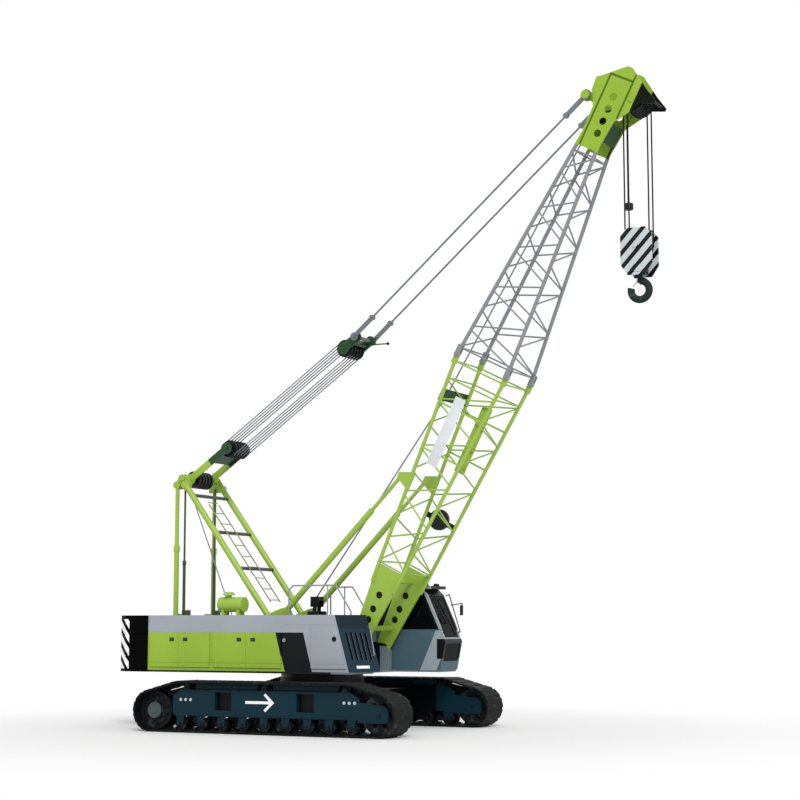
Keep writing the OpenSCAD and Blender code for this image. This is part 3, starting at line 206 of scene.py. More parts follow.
# Side frames and carbody: welded box beams that carry the rollers and slide onto two cross beams.
# Blue-green enamel over primer, dusty on what faces up; the carbody and the frames' inner faces are painted
# near black as painted shade under the deck.
def enamel(name, shade, patches=(), roughness=0.36, dust=0.10, shine=0.5):
    """Sprayed enamel. A patch is a colour and the planes (normal and distance) that bound it.

    The eye sees an even coat with a slight orange peel, faded in clouds about a metre wide."""
    made, tree, shader, where = start(name)
    colour = linear(shade)
    for patch_shade, planes in patches:
        inside = None
        for normal, distance in planes:
            height = add(tree, "ShaderNodeVectorMath", {0: where, 1: normal}, operation="DOT_PRODUCT")
            beyond = add(tree, "ShaderNodeMath", {0: height.outputs["Value"], 1: distance},
                         operation="GREATER_THAN").outputs[0]
            if inside:
                beyond = add(tree, "ShaderNodeMath", {0: inside, 1: beyond}, operation="MULTIPLY").outputs[0]
            inside = beyond
        mix = add(tree, "ShaderNodeMix", {0: inside, 6: colour, 7: linear(patch_shade)}, data_type="RGBA")
        colour = mix.outputs[2]
    clouds = add(tree, "ShaderNodeTexNoise", {
        "Vector": where, "Scale": per_mm(900), "Detail": 5.0, "Roughness": 0.6})
    tone = add(tree, "ShaderNodeMapRange", {
        "Value": clouds.outputs["Fac"], "From Min": 0.3, "From Max": 0.7, "To Min": 0.93, "To Max": 1.05})
    faded = add(tree, "ShaderNodeMix", {0: 1.0, 6: colour, 7: tone.outputs[0]},
                data_type="RGBA", blend_type="MULTIPLY")
    facing = add(tree, "ShaderNodeNewGeometry")
    up = add(tree, "ShaderNodeSeparateXYZ", {0: facing.outputs["Normal"]})
    lying = add(tree, "ShaderNodeMapRange", {
        "Value": up.outputs["Z"], "From Min": 0.4, "From Max": 1.0, "To Min": 0.0, "To Max": dust})
    dusty = add(tree, "ShaderNodeMix", {0: lying.outputs[0], 6: faded.outputs[2], 7: linear("#A9A496")},
                data_type="RGBA")
    tree.links.new(dusty.outputs[2], shader.inputs["Base Color"])
    film = add(tree, "ShaderNodeTexNoise", {"Vector": where, "Scale": per_mm(250), "Detail": 4.0})
    gloss = add(tree, "ShaderNodeMapRange", {
        "Value": film.outputs["Fac"], "To Min": roughness - 0.08, "To Max": roughness + 0.10})
    tree.links.new(gloss.outputs[0], shader.inputs["Roughness"])
    peel = add(tree, "ShaderNodeTexNoise", {"Vector": where, "Scale": per_mm(15), "Detail": 1.0})
    relief = add(tree, "ShaderNodeBump", {"Height": peel.outputs["Fac"], "Strength": 0.04, "Distance": 0.002})
    tree.links.new(relief.outputs[0], shader.inputs["Normal"])
    shader.inputs["Specular IOR Level"].default_value = shine
    return made


def between(width):
    """Planes that bound a strip of a width about the machine's middle."""
    return [((0, 1, 0), -width / 2), ((0, -1, 0), -width / 2)]


TEAL = "#0B2B36"
# Painted shade: the frames' inner faces, back from 1.75 m ahead of the axis, and the whole carbody get this
# near black for the shade under the deck.
PAINTED_SHADE_DARK = "#06090B"
GAUGE_HALF = 2.175
FRAME_FACE = GAUGE_HALF + 0.215
INNER_FACE = GAUGE_HALF - 0.20
INNER_END = 1.75
shaded_inner_faces = [*between(2 * INNER_FACE), ((-1, 0, 0), -INNER_END)]
frame_enamel = enamel("blue-green frame enamel with painted shade inside", TEAL, [(PAINTED_SHADE_DARK, shaded_inner_faces)], dust=0.15, shine=0.12)
dress(frame_enamel, "track_frame_right", "track_frame_left", "travel_drives")
dress(enamel("carbody enamel darkened as painted shade", PAINTED_SHADE_DARK, dust=0.08, shine=0.12), "carbody")


# Slewing ring and frame bolts: a forged race, dark with oil, between carbody and deck.
# The bolts are zinc-plated hexagon heads on washers, three at each end of a frame's outer face.
def bare_steel(name, shade, roughness, grain):
    """Turned or drawn steel, bare or plated, with marks of the tool a grain (in millimetres) apart.

    The eye sees a metal that is slightly stained; the marks are drawn wide enough to show."""
    made, tree, shader, where = start(name)
    stain = add(tree, "ShaderNodeTexNoise", {"Vector": where, "Scale": per_mm(120), "Detail": 5.0})
    tone = add(tree, "ShaderNodeMapRange", {"Value": stain.outputs["Fac"], "To Min": 0.72, "To Max": 1.15})
    colour = add(tree, "ShaderNodeMix", {0: 1.0, 6: linear(shade), 7: tone.outputs[0]},
                 data_type="RGBA", blend_type="MULTIPLY")
    marks = add(tree, "ShaderNodeTexNoise", {"Vector": where, "Scale": per_mm(grain), "Detail": 2.0})
    gloss = add(tree, "ShaderNodeMapRange", {
        "Value": marks.outputs["Fac"], "To Min": roughness - 0.10, "To Max": roughness + 0.12})
    tree.links.new(colour.outputs[2], shader.inputs["Base Color"])
    tree.links.new(gloss.outputs[0], shader.inputs["Roughness"])
    shader.inputs["Metallic"].default_value = 0.9
    return made


def finish_piece(bm, name, material, body, sharp=35.0):
    """Turns a bmesh into a piece that rides on a body, smooth up to an angle."""
    bmesh.ops.recalc_face_normals(bm, faces=bm.faces)
    for face in bm.faces:
        face.smooth = True
    for edge in bm.edges:
        if len(edge.link_faces) == 2 and edge.calc_face_angle() > math.radians(sharp):
            edge.smooth = False
    mesh = bpy.data.meshes.new(name)
    bm.to_mesh(mesh)
    bm.free()
    made = bpy.data.objects.new(name, mesh)
    scene.collection.objects.link(made)
    mesh.materials.append(material)
    if body:
        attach(made, body)
    return made


def rod(bm, a, b, r, sides=12, r_end=None):
    """A round bar between two points, or a cone where its end has a radius of its own."""
    a, b = Vector(a), Vector(b)
    turn = (b - a).to_track_quat("Z", "Y").to_matrix().to_4x4()
    bmesh.ops.create_cone(bm, cap_ends=True, segments=sides, radius1=r, radius2=r if r_end is None else r_end,
                          depth=(b - a).length, matrix=Matrix.Translation((a + b) / 2) @ turn)


bolt_steel = bare_steel("zinc-plated bolt steel", "#D5D9DC", 0.38, 10)
dress(bare_steel("oiled ring steel", "#24292C", 0.5, 20), "slew_ring")

BOLT_PLACES = (1.86, 1.98, 2.10, -1.76, -1.88, -2.00)
BOLT_Z = 0.665
WASHER = (0.006, 0.032, 16)
BOLT_HEAD = (0.026, 0.021, 6)
bm = bmesh.new()
for side in (-1, 1):
    face = side * FRAME_FACE
    for x in BOLT_PLACES:
        for height, r, sides in (WASHER, BOLT_HEAD):
            rod(bm, (x, face, BOLT_Z), (x, face + side * height, BOLT_Z), r, sides)
finish_piece(bm, "frame_bolts", bolt_steel, "base")


# Guide ribs under the top run and a flange along the foot of each side frame.
# Flat bar, welded on and sprayed with the frame; the drive lugs run between the ribs.
def block(bm, low, high, edge=0.0, turn=None):
    """A box between two corners, its edges broken, turned about its middle."""
    low, high = Vector(low), Vector(high)
    made = bmesh.ops.create_cube(bm, size=1.0)["verts"]
    bmesh.ops.scale(bm, vec=[abs(reach) for reach in high - low], verts=made)
    if edge:
        edges = list({e for v in made for e in v.link_edges})
        cut = bmesh.ops.bevel(bm, geom=edges, offset=edge, segments=2, profile=0.5, affect="EDGES",
                              material=-1)
        made = list({v for f in cut["faces"] for v in f.verts} | {v for v in made if v.is_valid})
    if turn:
        bmesh.ops.rotate(bm, verts=made, cent=(0, 0, 0), matrix=turn)
    bmesh.ops.translate(bm, verts=made, vec=(low + high) / 2)


FRAME_TOP = 0.87
RIB_RUNS = ((-1.70, -0.18), (0.18, 1.70))
RIB_OUT = 0.12
RIB_HALF = 0.02
RIB_RISE = 0.128
FLANGE_REACH = 1.95
FLANGE_LOW = 0.345
FLANGE_TOP = 0.362
FLANGE_HALF = 0.014
bm = bmesh.new()
for side in (-1, 1):
    for low, high in RIB_RUNS:
        for y in (side * GAUGE_HALF - RIB_OUT, side * GAUGE_HALF + RIB_OUT):
            block(bm, (low, y - RIB_HALF, FRAME_TOP - 0.01),
                  (high, y + RIB_HALF, FRAME_TOP + RIB_RISE), 0.004)
    outer = side * (FRAME_FACE + 0.010)
    block(bm, (-FLANGE_REACH, outer - FLANGE_HALF, FLANGE_LOW),
          (FLANGE_REACH, outer + FLANGE_HALF, FLANGE_TOP), 0.003)
finish_piece(bm, "frame_ribs", frame_enamel, "base")


# Roller guides: plates between the lower rollers, on the middle line above the shoes' lugs.
# Cut from steel plate and welded under the frame, as dark with oil as the rollers.
ROLLER_FIRST = -2.02
ROLLER_STEP = 0.505
ROLLER_REACH = 0.14
ROLLER_GAPS = 8
GUIDE_PLATE_LOW = 0.11
GUIDE_PLATE_TOP = 0.34
GUIDE_PLATE_HALF = 0.02
bm = bmesh.new()
for side in (-1, 1):
    for i in range(ROLLER_GAPS):
        x = ROLLER_FIRST + i * ROLLER_STEP
        block(bm, (x + ROLLER_REACH, side * GAUGE_HALF - GUIDE_PLATE_HALF, GUIDE_PLATE_LOW),
              (x + ROLLER_STEP - ROLLER_REACH, side * GAUGE_HALF + GUIDE_PLATE_HALF, GUIDE_PLATE_TOP), 0.004)
finish_piece(bm, "roller_guides", roller_steel, "base")


# Covers of the final drives: a turned disc with a raised boss and a ring of cap screws.
# Cast iron in grey-green enamel, let into the sprocket's hub.
cover_paint = enamel("grey-green cover enamel", "#3E4F4E", roughness=0.45, dust=0.1, shine=0.3)
COVER_R = 0.17
COVER_OUT = 0.018
BOSS_R = 0.075
BOSS_OUT = 0.034
SCREWS = 10
SCREW_CIRCLE = 0.125
SCREW_R = 0.013
SCREW_OUT = 0.028
low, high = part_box("sprockets")
hub = (low + high) / 2
seat = COVER_OUT - 0.002
bm = bmesh.new()
for side in (-1, 1):
    face = Vector((hub.x, side * high.y, hub.z))
    out = Vector((0, side, 0))
    rod(bm, face - 0.004 * out, face + COVER_OUT * out, COVER_R, 40, COVER_R - 0.012)
    rod(bm, face + seat * out, face + BOSS_OUT * out, BOSS_R, 32, BOSS_R - 0.010)
    for i in range(SCREWS):
        angle = 2 * math.pi * i / SCREWS
        foot = face + SCREW_CIRCLE * Vector((math.cos(angle), 0, math.sin(angle)))
        rod(bm, foot + seat * out, foot + SCREW_OUT * out, SCREW_R, 6)
finish_piece(bm, "final_drive_covers", cover_paint, "base")


# Direction arrows: they point to the machine's front, one on the outer face of each side frame.
# White film, cut in one piece and stuck on the enamel.
def arrow_outline(tip, tail, stroke, arm, spread):
    """Corners of an arrow with an open head, along X about its own axis."""
    half = stroke / 2
    c, s = math.cos(spread), math.sin(spread)
    root = tip - half / s
    upper = [
        (tail, half),
        (root - half * s - half * (1 + c) * c / s, half),
        (root - arm * c - half * s, arm * s - half * c),
        (root - arm * c + half * s, arm * s + half * c),
        (tip, 0.0),
    ]
    return upper + [(x, -z) for x, z in reversed(upper[:-1])]


def cut_sheet(bm, outline, y, thick):
    """A flat sheet cut to an outline in X and Z, from y outwards."""
    face = bm.faces.new([bm.verts.new((x, y, z)) for x, z in outline])
    grown = bmesh.ops.extrude_face_region(bm, geom=[face])["geom"]
    raised = [v for v in grown if isinstance(v, bmesh.types.BMVert)]
    bmesh.ops.translate(bm, verts=raised, vec=(0, thick, 0))


ARROW_Z = 0.635
FILM_T = 0.003
white_film = enamel("white film", "#F2F4F4", roughness=0.45, dust=0.0)
arrow = arrow_outline(tip=0.25, tail=-0.43, stroke=0.056, arm=0.25, spread=math.radians(42))
bm = bmesh.new()
for side in (-1, 1):
    cut_sheet(bm, [(x, z + ARROW_Z) for x, z in arrow], side * FRAME_FACE, side * FILM_T)
finish_piece(bm, "direction_arrows", white_film, "base")


# Track guards: plates in the middle plane that fill the corners between a frame's end and its wheel.
# Cut from steel plate along the wheel's rim and the sloping run, and welded to the frame.
GUARD_OUTLINE = (
    (1.70, 0.80), (1.70, 0.945), (1.94, 0.945), (2.50, 0.815), (2.36, 0.735), (2.30, 0.66),
    (2.25, 0.54), (2.23, 0.45), (2.24, 0.36), (2.27, 0.27), (2.17, 0.28), (2.10, 0.36))
GUARD_T = 0.04
bm = bmesh.new()
for side in (-1, 1):
    for end in (-1, 1):
        outline = [(end * x, z) for x, z in GUARD_OUTLINE]
        cut_sheet(bm, outline, side * GAUGE_HALF - GUARD_T / 2, GUARD_T)
finish_piece(bm, "track_guards", roller_steel, "base")


# Upperworks: a welded deck with twin-plate girders; houses of folded sheet stand on both sides of it.
# The houses wear the paint scheme: pale grey above, lime doors, a slanting charcoal band and a slate nose.
LIME = "#95B63E"
GREY = "#A0A5AD"
CHARCOAL = "#0B1011"
SEAM_GREY = "#8C8E96"
SEAM_LIME = "#6A8428"
DARK_SHINE = 0.18
HOUSE_SHINE = 0.14
HOUSE_TOP = 2.40
deck_patches = [
    (LIME, [((0, 0, 1), HOUSE_TOP - 0.02)]),
    ("#77848C", [((1, 0, 0), 1.12), ((0, 0, -1), -1.75)]),
]
dress(enamel("dark deck enamel", "#12181A", deck_patches, dust=0.15, shine=DARK_SHINE), "slewing_frame")
dress(enamel("grey engine enamel", "#50565A", roughness=0.5), "engine")

BAND_LINE = Vector((1.0, 0.0, 0.272))
BAND_REAR = 0.365
BAND_FRONT = 1.015
PAINT_LINE = 2.04
SEAM = 0.008
FOLD_LINE = 1.400
ROOF_SEAM = 2.195
NOSE_NORMAL = Vector((0.8956, -0.3618, 0.2588))
NOSE_DISTANCE = 2.281
below = ((0, 0, -1), -PAINT_LINE)
fold = [((0, 0, 1), FOLD_LINE), ((0, 0, -1), -FOLD_LINE - SEAM)]
house_patches = [
    (SEAM_GREY, fold),
    (SEAM_GREY, [((1, 0, 0), 0.03), ((0, 0, 1), ROOF_SEAM), ((0, 0, -1), -ROOF_SEAM - SEAM)]),
    (LIME, [below, (-BAND_LINE, -BAND_REAR)]),
    (CHARCOAL, [below, (BAND_LINE, BAND_REAR), (-BAND_LINE, -BAND_FRONT)]),
    (SEAM_LIME, [below, (-BAND_LINE, -BAND_REAR), *fold]),
]
nose_paint_and_slot_shade = [
    ("#1B3140", [(NOSE_NORMAL, NOSE_DISTANCE)]),
    ("#16262F", [(NOSE_NORMAL, NOSE_DISTANCE), ((0, 0, 1), 2.12)]),
    # Painted shade: the slots' side walls, from just behind the nose's face to 0.08 m deep, are painted near
    # black.
    ("#070A0B", [(NOSE_NORMAL, NOSE_DISTANCE - 0.08), (-NOSE_NORMAL, 0.004 - NOSE_DISTANCE),
                 ((0, 1, 0), -1.50), ((0, -1, 0), 0.90), ((0, 0, 1), 1.46), ((0, 0, -1), -2.06)]),
]
house_enamel = enamel("house enamel in four colours with painted slot shade", GREY, house_patches + nose_paint_and_slot_shade,
                      dust=0.06, shine=HOUSE_SHINE)
dress(house_enamel, "house_right", "door_right_1", "door_right_2", "door_right_3", "door_right_4",
      "door_right_front")
left_enamel = enamel("left house enamel", GREY, house_patches, dust=0.06, shine=HOUSE_SHINE)
dress(left_enamel, "house_left", "door_left_1", "door_left_2")
rail_enamel = enamel("grey rail enamel", "#8D939A", roughness=0.4)
dress(rail_enamel, "handrails")


# Door fittings: a moulded cup behind each pull, and steel hinge knuckles painted with the house.
# The cups and latches ride with their doors, and the knuckles stay on the posts.
moulding = enamel("black moulded plastic", "#101314", roughness=0.5, dust=0.0, shine=DARK_SHINE)
cup_moulding = enamel("grey moulded plastic", "#39443A", roughness=0.5, dust=0.0, shine=DARK_SHINE)
HOUSE_FACE = 1.64
CUP_FLOOR = HOUSE_FACE - 0.012
CUP_HALF = 0.059
CUP_HALF_HIGH = 0.039
PULL_HALF = 0.046
PULL_Z = 1.89
RIGHT_PULLS = {"door_right_1": -2.77, "door_right_2": -2.43, "door_right_3": -1.08, "door_right_4": -0.74}
LEFT_PULLS = {"door_left_1": -1.08, "door_left_2": -0.74}
for side, pulls in ((-1, RIGHT_PULLS), (1, LEFT_PULLS)):
    for door, x in pulls.items():
        bm = bmesh.new()
        block(bm, (x - CUP_HALF, side * CUP_FLOOR, PULL_Z - CUP_HALF_HIGH),
              (x + CUP_HALF, side * (CUP_FLOOR + 0.003), PULL_Z + CUP_HALF_HIGH), 0.001)
        block(bm, (x - PULL_HALF, side * (CUP_FLOOR + 0.002), PULL_Z - 0.012),
              (x + PULL_HALF, side * (HOUSE_FACE + 0.004), PULL_Z + 0.010), 0.003)
        finish_piece(bm, door + "_cup", cup_moulding, door + "_body")

RIGHT_HINGES = (-3.34, -1.815, -1.725, -0.06, 0.66)
LEFT_HINGES = (-1.725, -0.06)
HINGE_HEIGHTS = (1.50, 1.80)
KNUCKLE_R = 0.008
KNUCKLE_HALF = 0.04
for side, name, hinges, paint in ((-1, "right_hinges", RIGHT_HINGES, house_enamel),
                                  (1, "left_hinges", LEFT_HINGES, left_enamel)):
    bm = bmesh.new()
    y = side * (HOUSE_FACE + 0.002)
    for x in hinges:
        for z in HINGE_HEIGHTS:
            rod(bm, (x, y, z - KNUCKLE_HALF), (x, y, z + KNUCKLE_HALF), KNUCKLE_R)
    finish_piece(bm, name, paint, "upper")


def round_latch(bm, x, z, r):
    """A turned latch with a thumb bar, on the right house's skin."""
    rod(bm, (x, -HOUSE_FACE + 0.002, z), (x, -HOUSE_FACE - 0.012, z), r, 28, r - 0.006)
    bar = 0.7 * r
    block(bm, (x - 0.010, -HOUSE_FACE - 0.022, z - bar), (x + 0.010, -HOUSE_FACE - 0.010, z + bar), 0.003)


bm = bmesh.new()
round_latch(bm, 0.02, 1.88, 0.042)
finish_piece(bm, "band_latch", rail_enamel, "upper")
bm = bmesh.new()
round_latch(bm, 1.206, 1.91, 0.055)
finish_piece(bm, "front_door_latch", moulding, "door_right_front_body")


# Nose of the right house: a sheet-steel front that leans back and to the side, with slots for the air.
# A radiator core stands behind the slots; a bright blank plate and a bent grab bar are screwed on.
NOSE_FOOT = Vector((1.54, -1.64, 1.20))
across = Vector((-NOSE_NORMAL.y, NOSE_NORMAL.x, 0)).normalized()
rise = NOSE_NORMAL.cross(across).normalized()
nose_turn = Matrix((NOSE_NORMAL, across, rise)).transposed()


def on_nose(along, height, out):
    """A point on the leaning front: along its foot, up its face and out of it."""
    return NOSE_FOOT + along * across + height * rise + out * NOSE_NORMAL


def slab(bm, middle, half, edge=0.0, turn=None):
    """A box about its middle, given by its half sizes."""
    half = Vector(half)
    block(bm, middle - half, middle + half, edge, turn)


def bent_bar(bm, points, r, sides=10):
    """A round bar through points, with a ball at each bend."""
    points = [Vector(p) for p in points]
    for a, b in zip(points, points[1:]):
        rod(bm, a, b, r, sides)
    for p in points[1:-1]:
        bmesh.ops.create_uvsphere(bm, u_segments=sides, v_segments=6, radius=r, matrix=Matrix.Translation(p))


NOSE_MIDDLE = 0.42
GRAB_ALONG = 0.72
GRAB_OUT = 0.06
GRAB_LOW = 0.38
GRAB_TOP = 0.98
bm = bmesh.new()
slab(bm, on_nose(NOSE_MIDDLE, 0.58, -0.085), (0.02, 0.36, 0.33), 0.002, nose_turn)
finish_piece(bm, "radiator_core", moulding, "upper")
bm = bmesh.new()
slab(bm, on_nose(NOSE_MIDDLE, 0.145, 0.003), (0.003, 0.17, 0.030), 0.001, nose_turn)
finish_piece(bm, "nose_plate", white_film, "upper")
bm = bmesh.new()
grab_way = ((GRAB_LOW, 0), (GRAB_LOW, GRAB_OUT), (GRAB_TOP, GRAB_OUT), (GRAB_TOP, 0))
bent_bar(bm, [on_nose(GRAB_ALONG, height, out) for height, out in grab_way], 0.012)
finish_piece(bm, "nose_grab_bar", rail_enamel, "upper")


# Ballast: stacked cast slabs behind the houses, sprayed black.
# Five white stripes on each half of its rear lean up from the middle line to the corner.
BLACK = "#030304"
STRIPES = 5
STRIPE_LEAN = (1.33, 0.687, 1.0)
STRIPE_FIRST = -4.18
STRIPE_STEP = 0.29
STRIPE_WIDE = 0.16
STRIPE_END = 3.88
STRIPE_LOW = 1.26
STRIPE_TOP = 2.32
stripes = []
for side in (-1, 1):
    lean = Vector((STRIPE_LEAN[0], -side * STRIPE_LEAN[1], STRIPE_LEAN[2]))
    for i in range(STRIPES):
        low = STRIPE_FIRST - i * STRIPE_STEP
        stripes.append(("#F4F5F7", [
            ((-1, 0, 0), STRIPE_END), ((0, side, 0), 0.0), (lean, low), (-lean, -low - STRIPE_WIDE),
            ((0, 0, 1), STRIPE_LOW), ((0, 0, -1), -STRIPE_TOP)]))
dress(enamel("black ballast enamel", BLACK, stripes, roughness=0.5, dust=0.0, shine=0.03), "counterweight")


# Air cleaner: a sheet-steel drum with a hooded inlet, on two saddles on a house's roof.
# It is sprayed in the same lime as the doors, the gantry and the lower boom.
lime_enamel = enamel("lime enamel", LIME)
dress(lime_enamel, "air_cleaner")


# Winches: two drums on shafts through the girders, wound with steel rope.
# The windings are drawn as one ribbed sleeve each, a rope's width to a rib.
drum_steel = bare_steel("greased drum steel", "#4A4F53", 0.45, 20)
dress(drum_steel, "hoist_drum", "boom_hoist_drum")


def rope_steel(name, shade):
    """Greased steel wire rope of six strands in a long lay.

    The eye sees ribs that run round the rope; they follow its UV map, one turn to a lay."""
    made, tree, shader, where = start(name)
    lay = add(tree, "ShaderNodeUVMap")
    parts = add(tree, "ShaderNodeSeparateXYZ", {0: lay.outputs[0]})
    turns = add(tree, "ShaderNodeMath", {0: parts.outputs["X"], 1: 6.0, 2: parts.outputs["Y"]},
                operation="MULTIPLY_ADD")
    wave = add(tree, "ShaderNodeMath", {0: turns.outputs[0], 1: 2 * math.pi}, operation="MULTIPLY")
    rib = add(tree, "ShaderNodeMath", {0: wave.outputs[0]}, operation="SINE")
    tone = add(tree, "ShaderNodeMapRange", {
        "Value": rib.outputs[0], "From Min": -1.0, "To Min": 0.55, "To Max": 1.15})
    colour = add(tree, "ShaderNodeMix", {0: 1.0, 6: linear(shade), 7: tone.outputs[0]},
                 data_type="RGBA", blend_type="MULTIPLY")
    grease = add(tree, "ShaderNodeTexNoise", {"Vector": where, "Scale": per_mm(200), "Detail": 3.0})
    gloss = add(tree, "ShaderNodeMapRange", {"Value": grease.outputs["Fac"], "To Min": 0.35, "To Max": 0.6})
    relief = add(tree, "ShaderNodeBump", {"Height": rib.outputs[0], "Strength": 0.6, "Distance": 0.004})
    tree.links.new(colour.outputs[2], shader.inputs["Base Color"])
    tree.links.new(gloss.outputs[0], shader.inputs["Roughness"])
    tree.links.new(relief.outputs[0], shader.inputs["Normal"])
    shader.inputs["Metallic"].default_value = 0.7
    return made


bright_rope = rope_steel("bright wire rope", "#94979E")
dark_rope = rope_steel("greased wire rope", "#121416")
WIND_RIBS = 30
WIND_HALF = 0.440
WIND_DEPTH = 0.007
for drum, winding, wire in (("hoist_drum", 0.285, dark_rope), ("boom_hoist_drum", 0.235, bright_rope)):
    low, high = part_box(drum)
    middle = (low + high) / 2
    bm = bmesh.new()
    profile = []
    for i in range(2 * WIND_RIBS + 1):
        r = winding + (WIND_DEPTH if i % 2 else -WIND_DEPTH)
        profile.append(bm.verts.new((middle.x, -WIND_HALF + i * WIND_HALF / WIND_RIBS, middle.z + r)))
    edges = [bm.edges.new(pair) for pair in zip(profile, profile[1:])]
    bmesh.ops.spin(bm, geom=profile + edges, cent=middle, axis=(0, 1, 0), angle=2 * math.pi, steps=48,
                   use_merge=True)
    finish_piece(bm, drum + "_winding", wire, drum + "_body", sharp=70)


# Fairlead over the hoist drum: two side plates on a cross tube between the girders.
# Welded steel with turned rollers between the plates, all in black.
def pin(bm, middle, half, r, sides=12):
    """A round bar across the machine, about its middle."""
    reach = Vector((0, half, 0))
    rod(bm, middle - reach, middle + reach, r, sides)


FAIRLEAD = Vector((-0.14, 0.0, 2.80))
FAIRLEAD_FOOT = Vector((-0.14, 0.0, 2.30))
GIRDER_IN = 0.525
CHEEK_Y = 0.105
bm = bmesh.new()
pin(bm, FAIRLEAD_FOOT, GIRDER_IN, 0.05, 20)
for side in (-1, 1):
    y = side * CHEEK_Y
    block(bm, FAIRLEAD_FOOT + Vector((-0.035, y - 0.012, 0)), FAIRLEAD + Vector((0.035, y + 0.012, 0)), 0.004)
    block(bm, FAIRLEAD + Vector((-0.10, y - 0.014, -0.22)), FAIRLEAD + Vector((0.10, y + 0.014, 0)), 0.006)
    pin(bm, FAIRLEAD + Vector((side * 0.058, 0, -0.07)), 0.10, 0.040, 24)
    stub = FAIRLEAD_FOOT + Vector((0, side * 0.16, 0.14))
    rod(bm, stub - Vector((0.12, 0, 0)), stub + Vector((0.12, 0, 0)), 0.05, 20)
finish_piece(bm, "rope_fairlead", moulding, "upper")


# Gantry: slanting front legs with dark cross bars, telescopic rear legs and a head with the top sheaves.
# Welded tube in the machine's lime; the sheaves between the head's plates are black cast nylon.
NYLON = "#101315"
LEG_FOOT = Vector((-0.87, 0.0, 2.33))
GANTRY_TOP = Vector((-3.20, 0.0, 5.42))
LEG_TOP = GANTRY_TOP + Vector((0.12, 0, -0.15))
LEG_INSIDE = 0.679
SHEAVES_WIDE = 0.60
legs_enamel = enamel("lime enamel with dark bars", LIME, [("#2C3826", between(2 * LEG_INSIDE))])
dress(legs_enamel, "gantry_front_legs")
dress(lime_enamel, "gantry_rear_legs")
head_enamel = enamel("lime enamel and black sheaves", LIME, [(NYLON, between(SHEAVES_WIDE))])
dress(head_enamel, "gantry_head")


# Gantry ladder: two stringers of thin tube with a rung every 0.3 m, for the way up to the sheaves.
# Welded steel in a faded olive, clamped to the front legs' cross bars.
LADDER_SIDES = (-0.36, 0.03)
LADDER_REACH = (0.42, 3.12)
LADDER_OUT = 0.045
RUNG_STEP = 0.3
RUNG_FIRST = LADDER_REACH[0] + 0.05
ladder_paint = enamel("olive ladder enamel", "#7C8A55", roughness=0.45)
leg_line = (LEG_TOP - LEG_FOOT).normalized()
leg_out = Vector((leg_line.z, 0, -leg_line.x))


def on_ladder(along, y):
    """A point of the ladder, from the front legs' foot up."""
    return LEG_FOOT + along * leg_line + LADDER_OUT * leg_out + Vector((0, y, 0))


bm = bmesh.new()
for y in LADDER_SIDES:
    rod(bm, on_ladder(LADDER_REACH[0], y), on_ladder(LADDER_REACH[1], y), 0.014, 10)
rungs = int((LADDER_REACH[1] - LADDER_REACH[0]) / RUNG_STEP)
for i in range(rungs + 1):
    along = RUNG_FIRST + RUNG_STEP * i
    rod(bm, on_ladder(along, LADDER_SIDES[0]), on_ladder(along, LADDER_SIDES[1]), 0.010, 8)
finish_piece(bm, "gantry_ladder", ladder_paint, "upper")


# Stay struts: a thin rod in a thicker sleeve beside each rear leg, up to the gantry's head.
# Steel in dark green, on a bracket on the girder.
strut_paint = enamel("dark green strut enamel", "#2E3D26", roughness=0.4)
STRUT_X = -3.18
STRUT_Y = 0.60
STRUT_PARTS = ((1.96, 3.55, 0.034, 16), (3.53, LEG_TOP.z, 0.022, 14), (3.50, 3.60, 0.042, 16))
bm = bmesh.new()
for side in (-1, 1):
    y = side * STRUT_Y
    for low, high, r, sides in STRUT_PARTS:
        rod(bm, (STRUT_X, y, low), (STRUT_X, y, high), r, sides)
    block(bm, (STRUT_X - 0.02, y - 0.05, 2.30), (STRUT_X + 0.16, y + 0.05, 2.52), 0.01)
finish_piece(bm, "gantry_struts", strut_paint, "upper")


# Luffing rope: it leaves the gantry's first sheave and runs down to its drum between the girders.
# Steel wire rope, kept bright by running over the sheaves.
ROPE_LAY = 0.16


def rope(bm, a, b, r, rings=2, sides=10):
    """A straight run of rope with its strands' lay in its UV map, closed at its ends."""
    a, b = Vector(a), Vector(b)
    uv = bm.loops.layers.uv.verify()
    made = bmesh.ops.create_grid(bm, x_segments=sides, y_segments=rings, size=1.0, calc_uvs=True)["verts"]
    for face in {f for v in made for f in v.link_faces}:
        for loop in face.loops:
            loop[uv].uv.y *= (b - a).length / ROPE_LAY
    turn = (b - a).to_track_quat("Z", "Y").to_matrix()
    for v in made:
        angle = math.pi * v.co.x
        v.co = a + (b - a) * (v.co.y + 1) / 2 + turn @ Vector((r * math.cos(angle), r * math.sin(angle), 0))
    bmesh.ops.remove_doubles(bm, verts=made, dist=1e-5)
    bmesh.ops.holes_fill(bm, edges=[e for e in bm.edges if e.is_boundary], sides=0)


def rope_piece(name, a, b, r, wire, body, rings=2):
    """A piece that is one straight run of rope."""
    bm = bmesh.new()
    rope(bm, a, b, r, rings)
    return finish_piece(bm, name, wire, body)


FALL_ROPE = 0.013
LUFF_Y = -0.24
luff_low, luff_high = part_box("boom_hoist_drum")
luff_drum = (luff_low + luff_high) / 2
luff_top = GANTRY_TOP + Vector((-0.175, LUFF_Y, -0.02))
luff_end = luff_drum + Vector((-0.22, LUFF_Y, 0.09))
rope_piece("luffing_rope", luff_top, luff_end, FALL_ROPE, bright_rope, "upper")


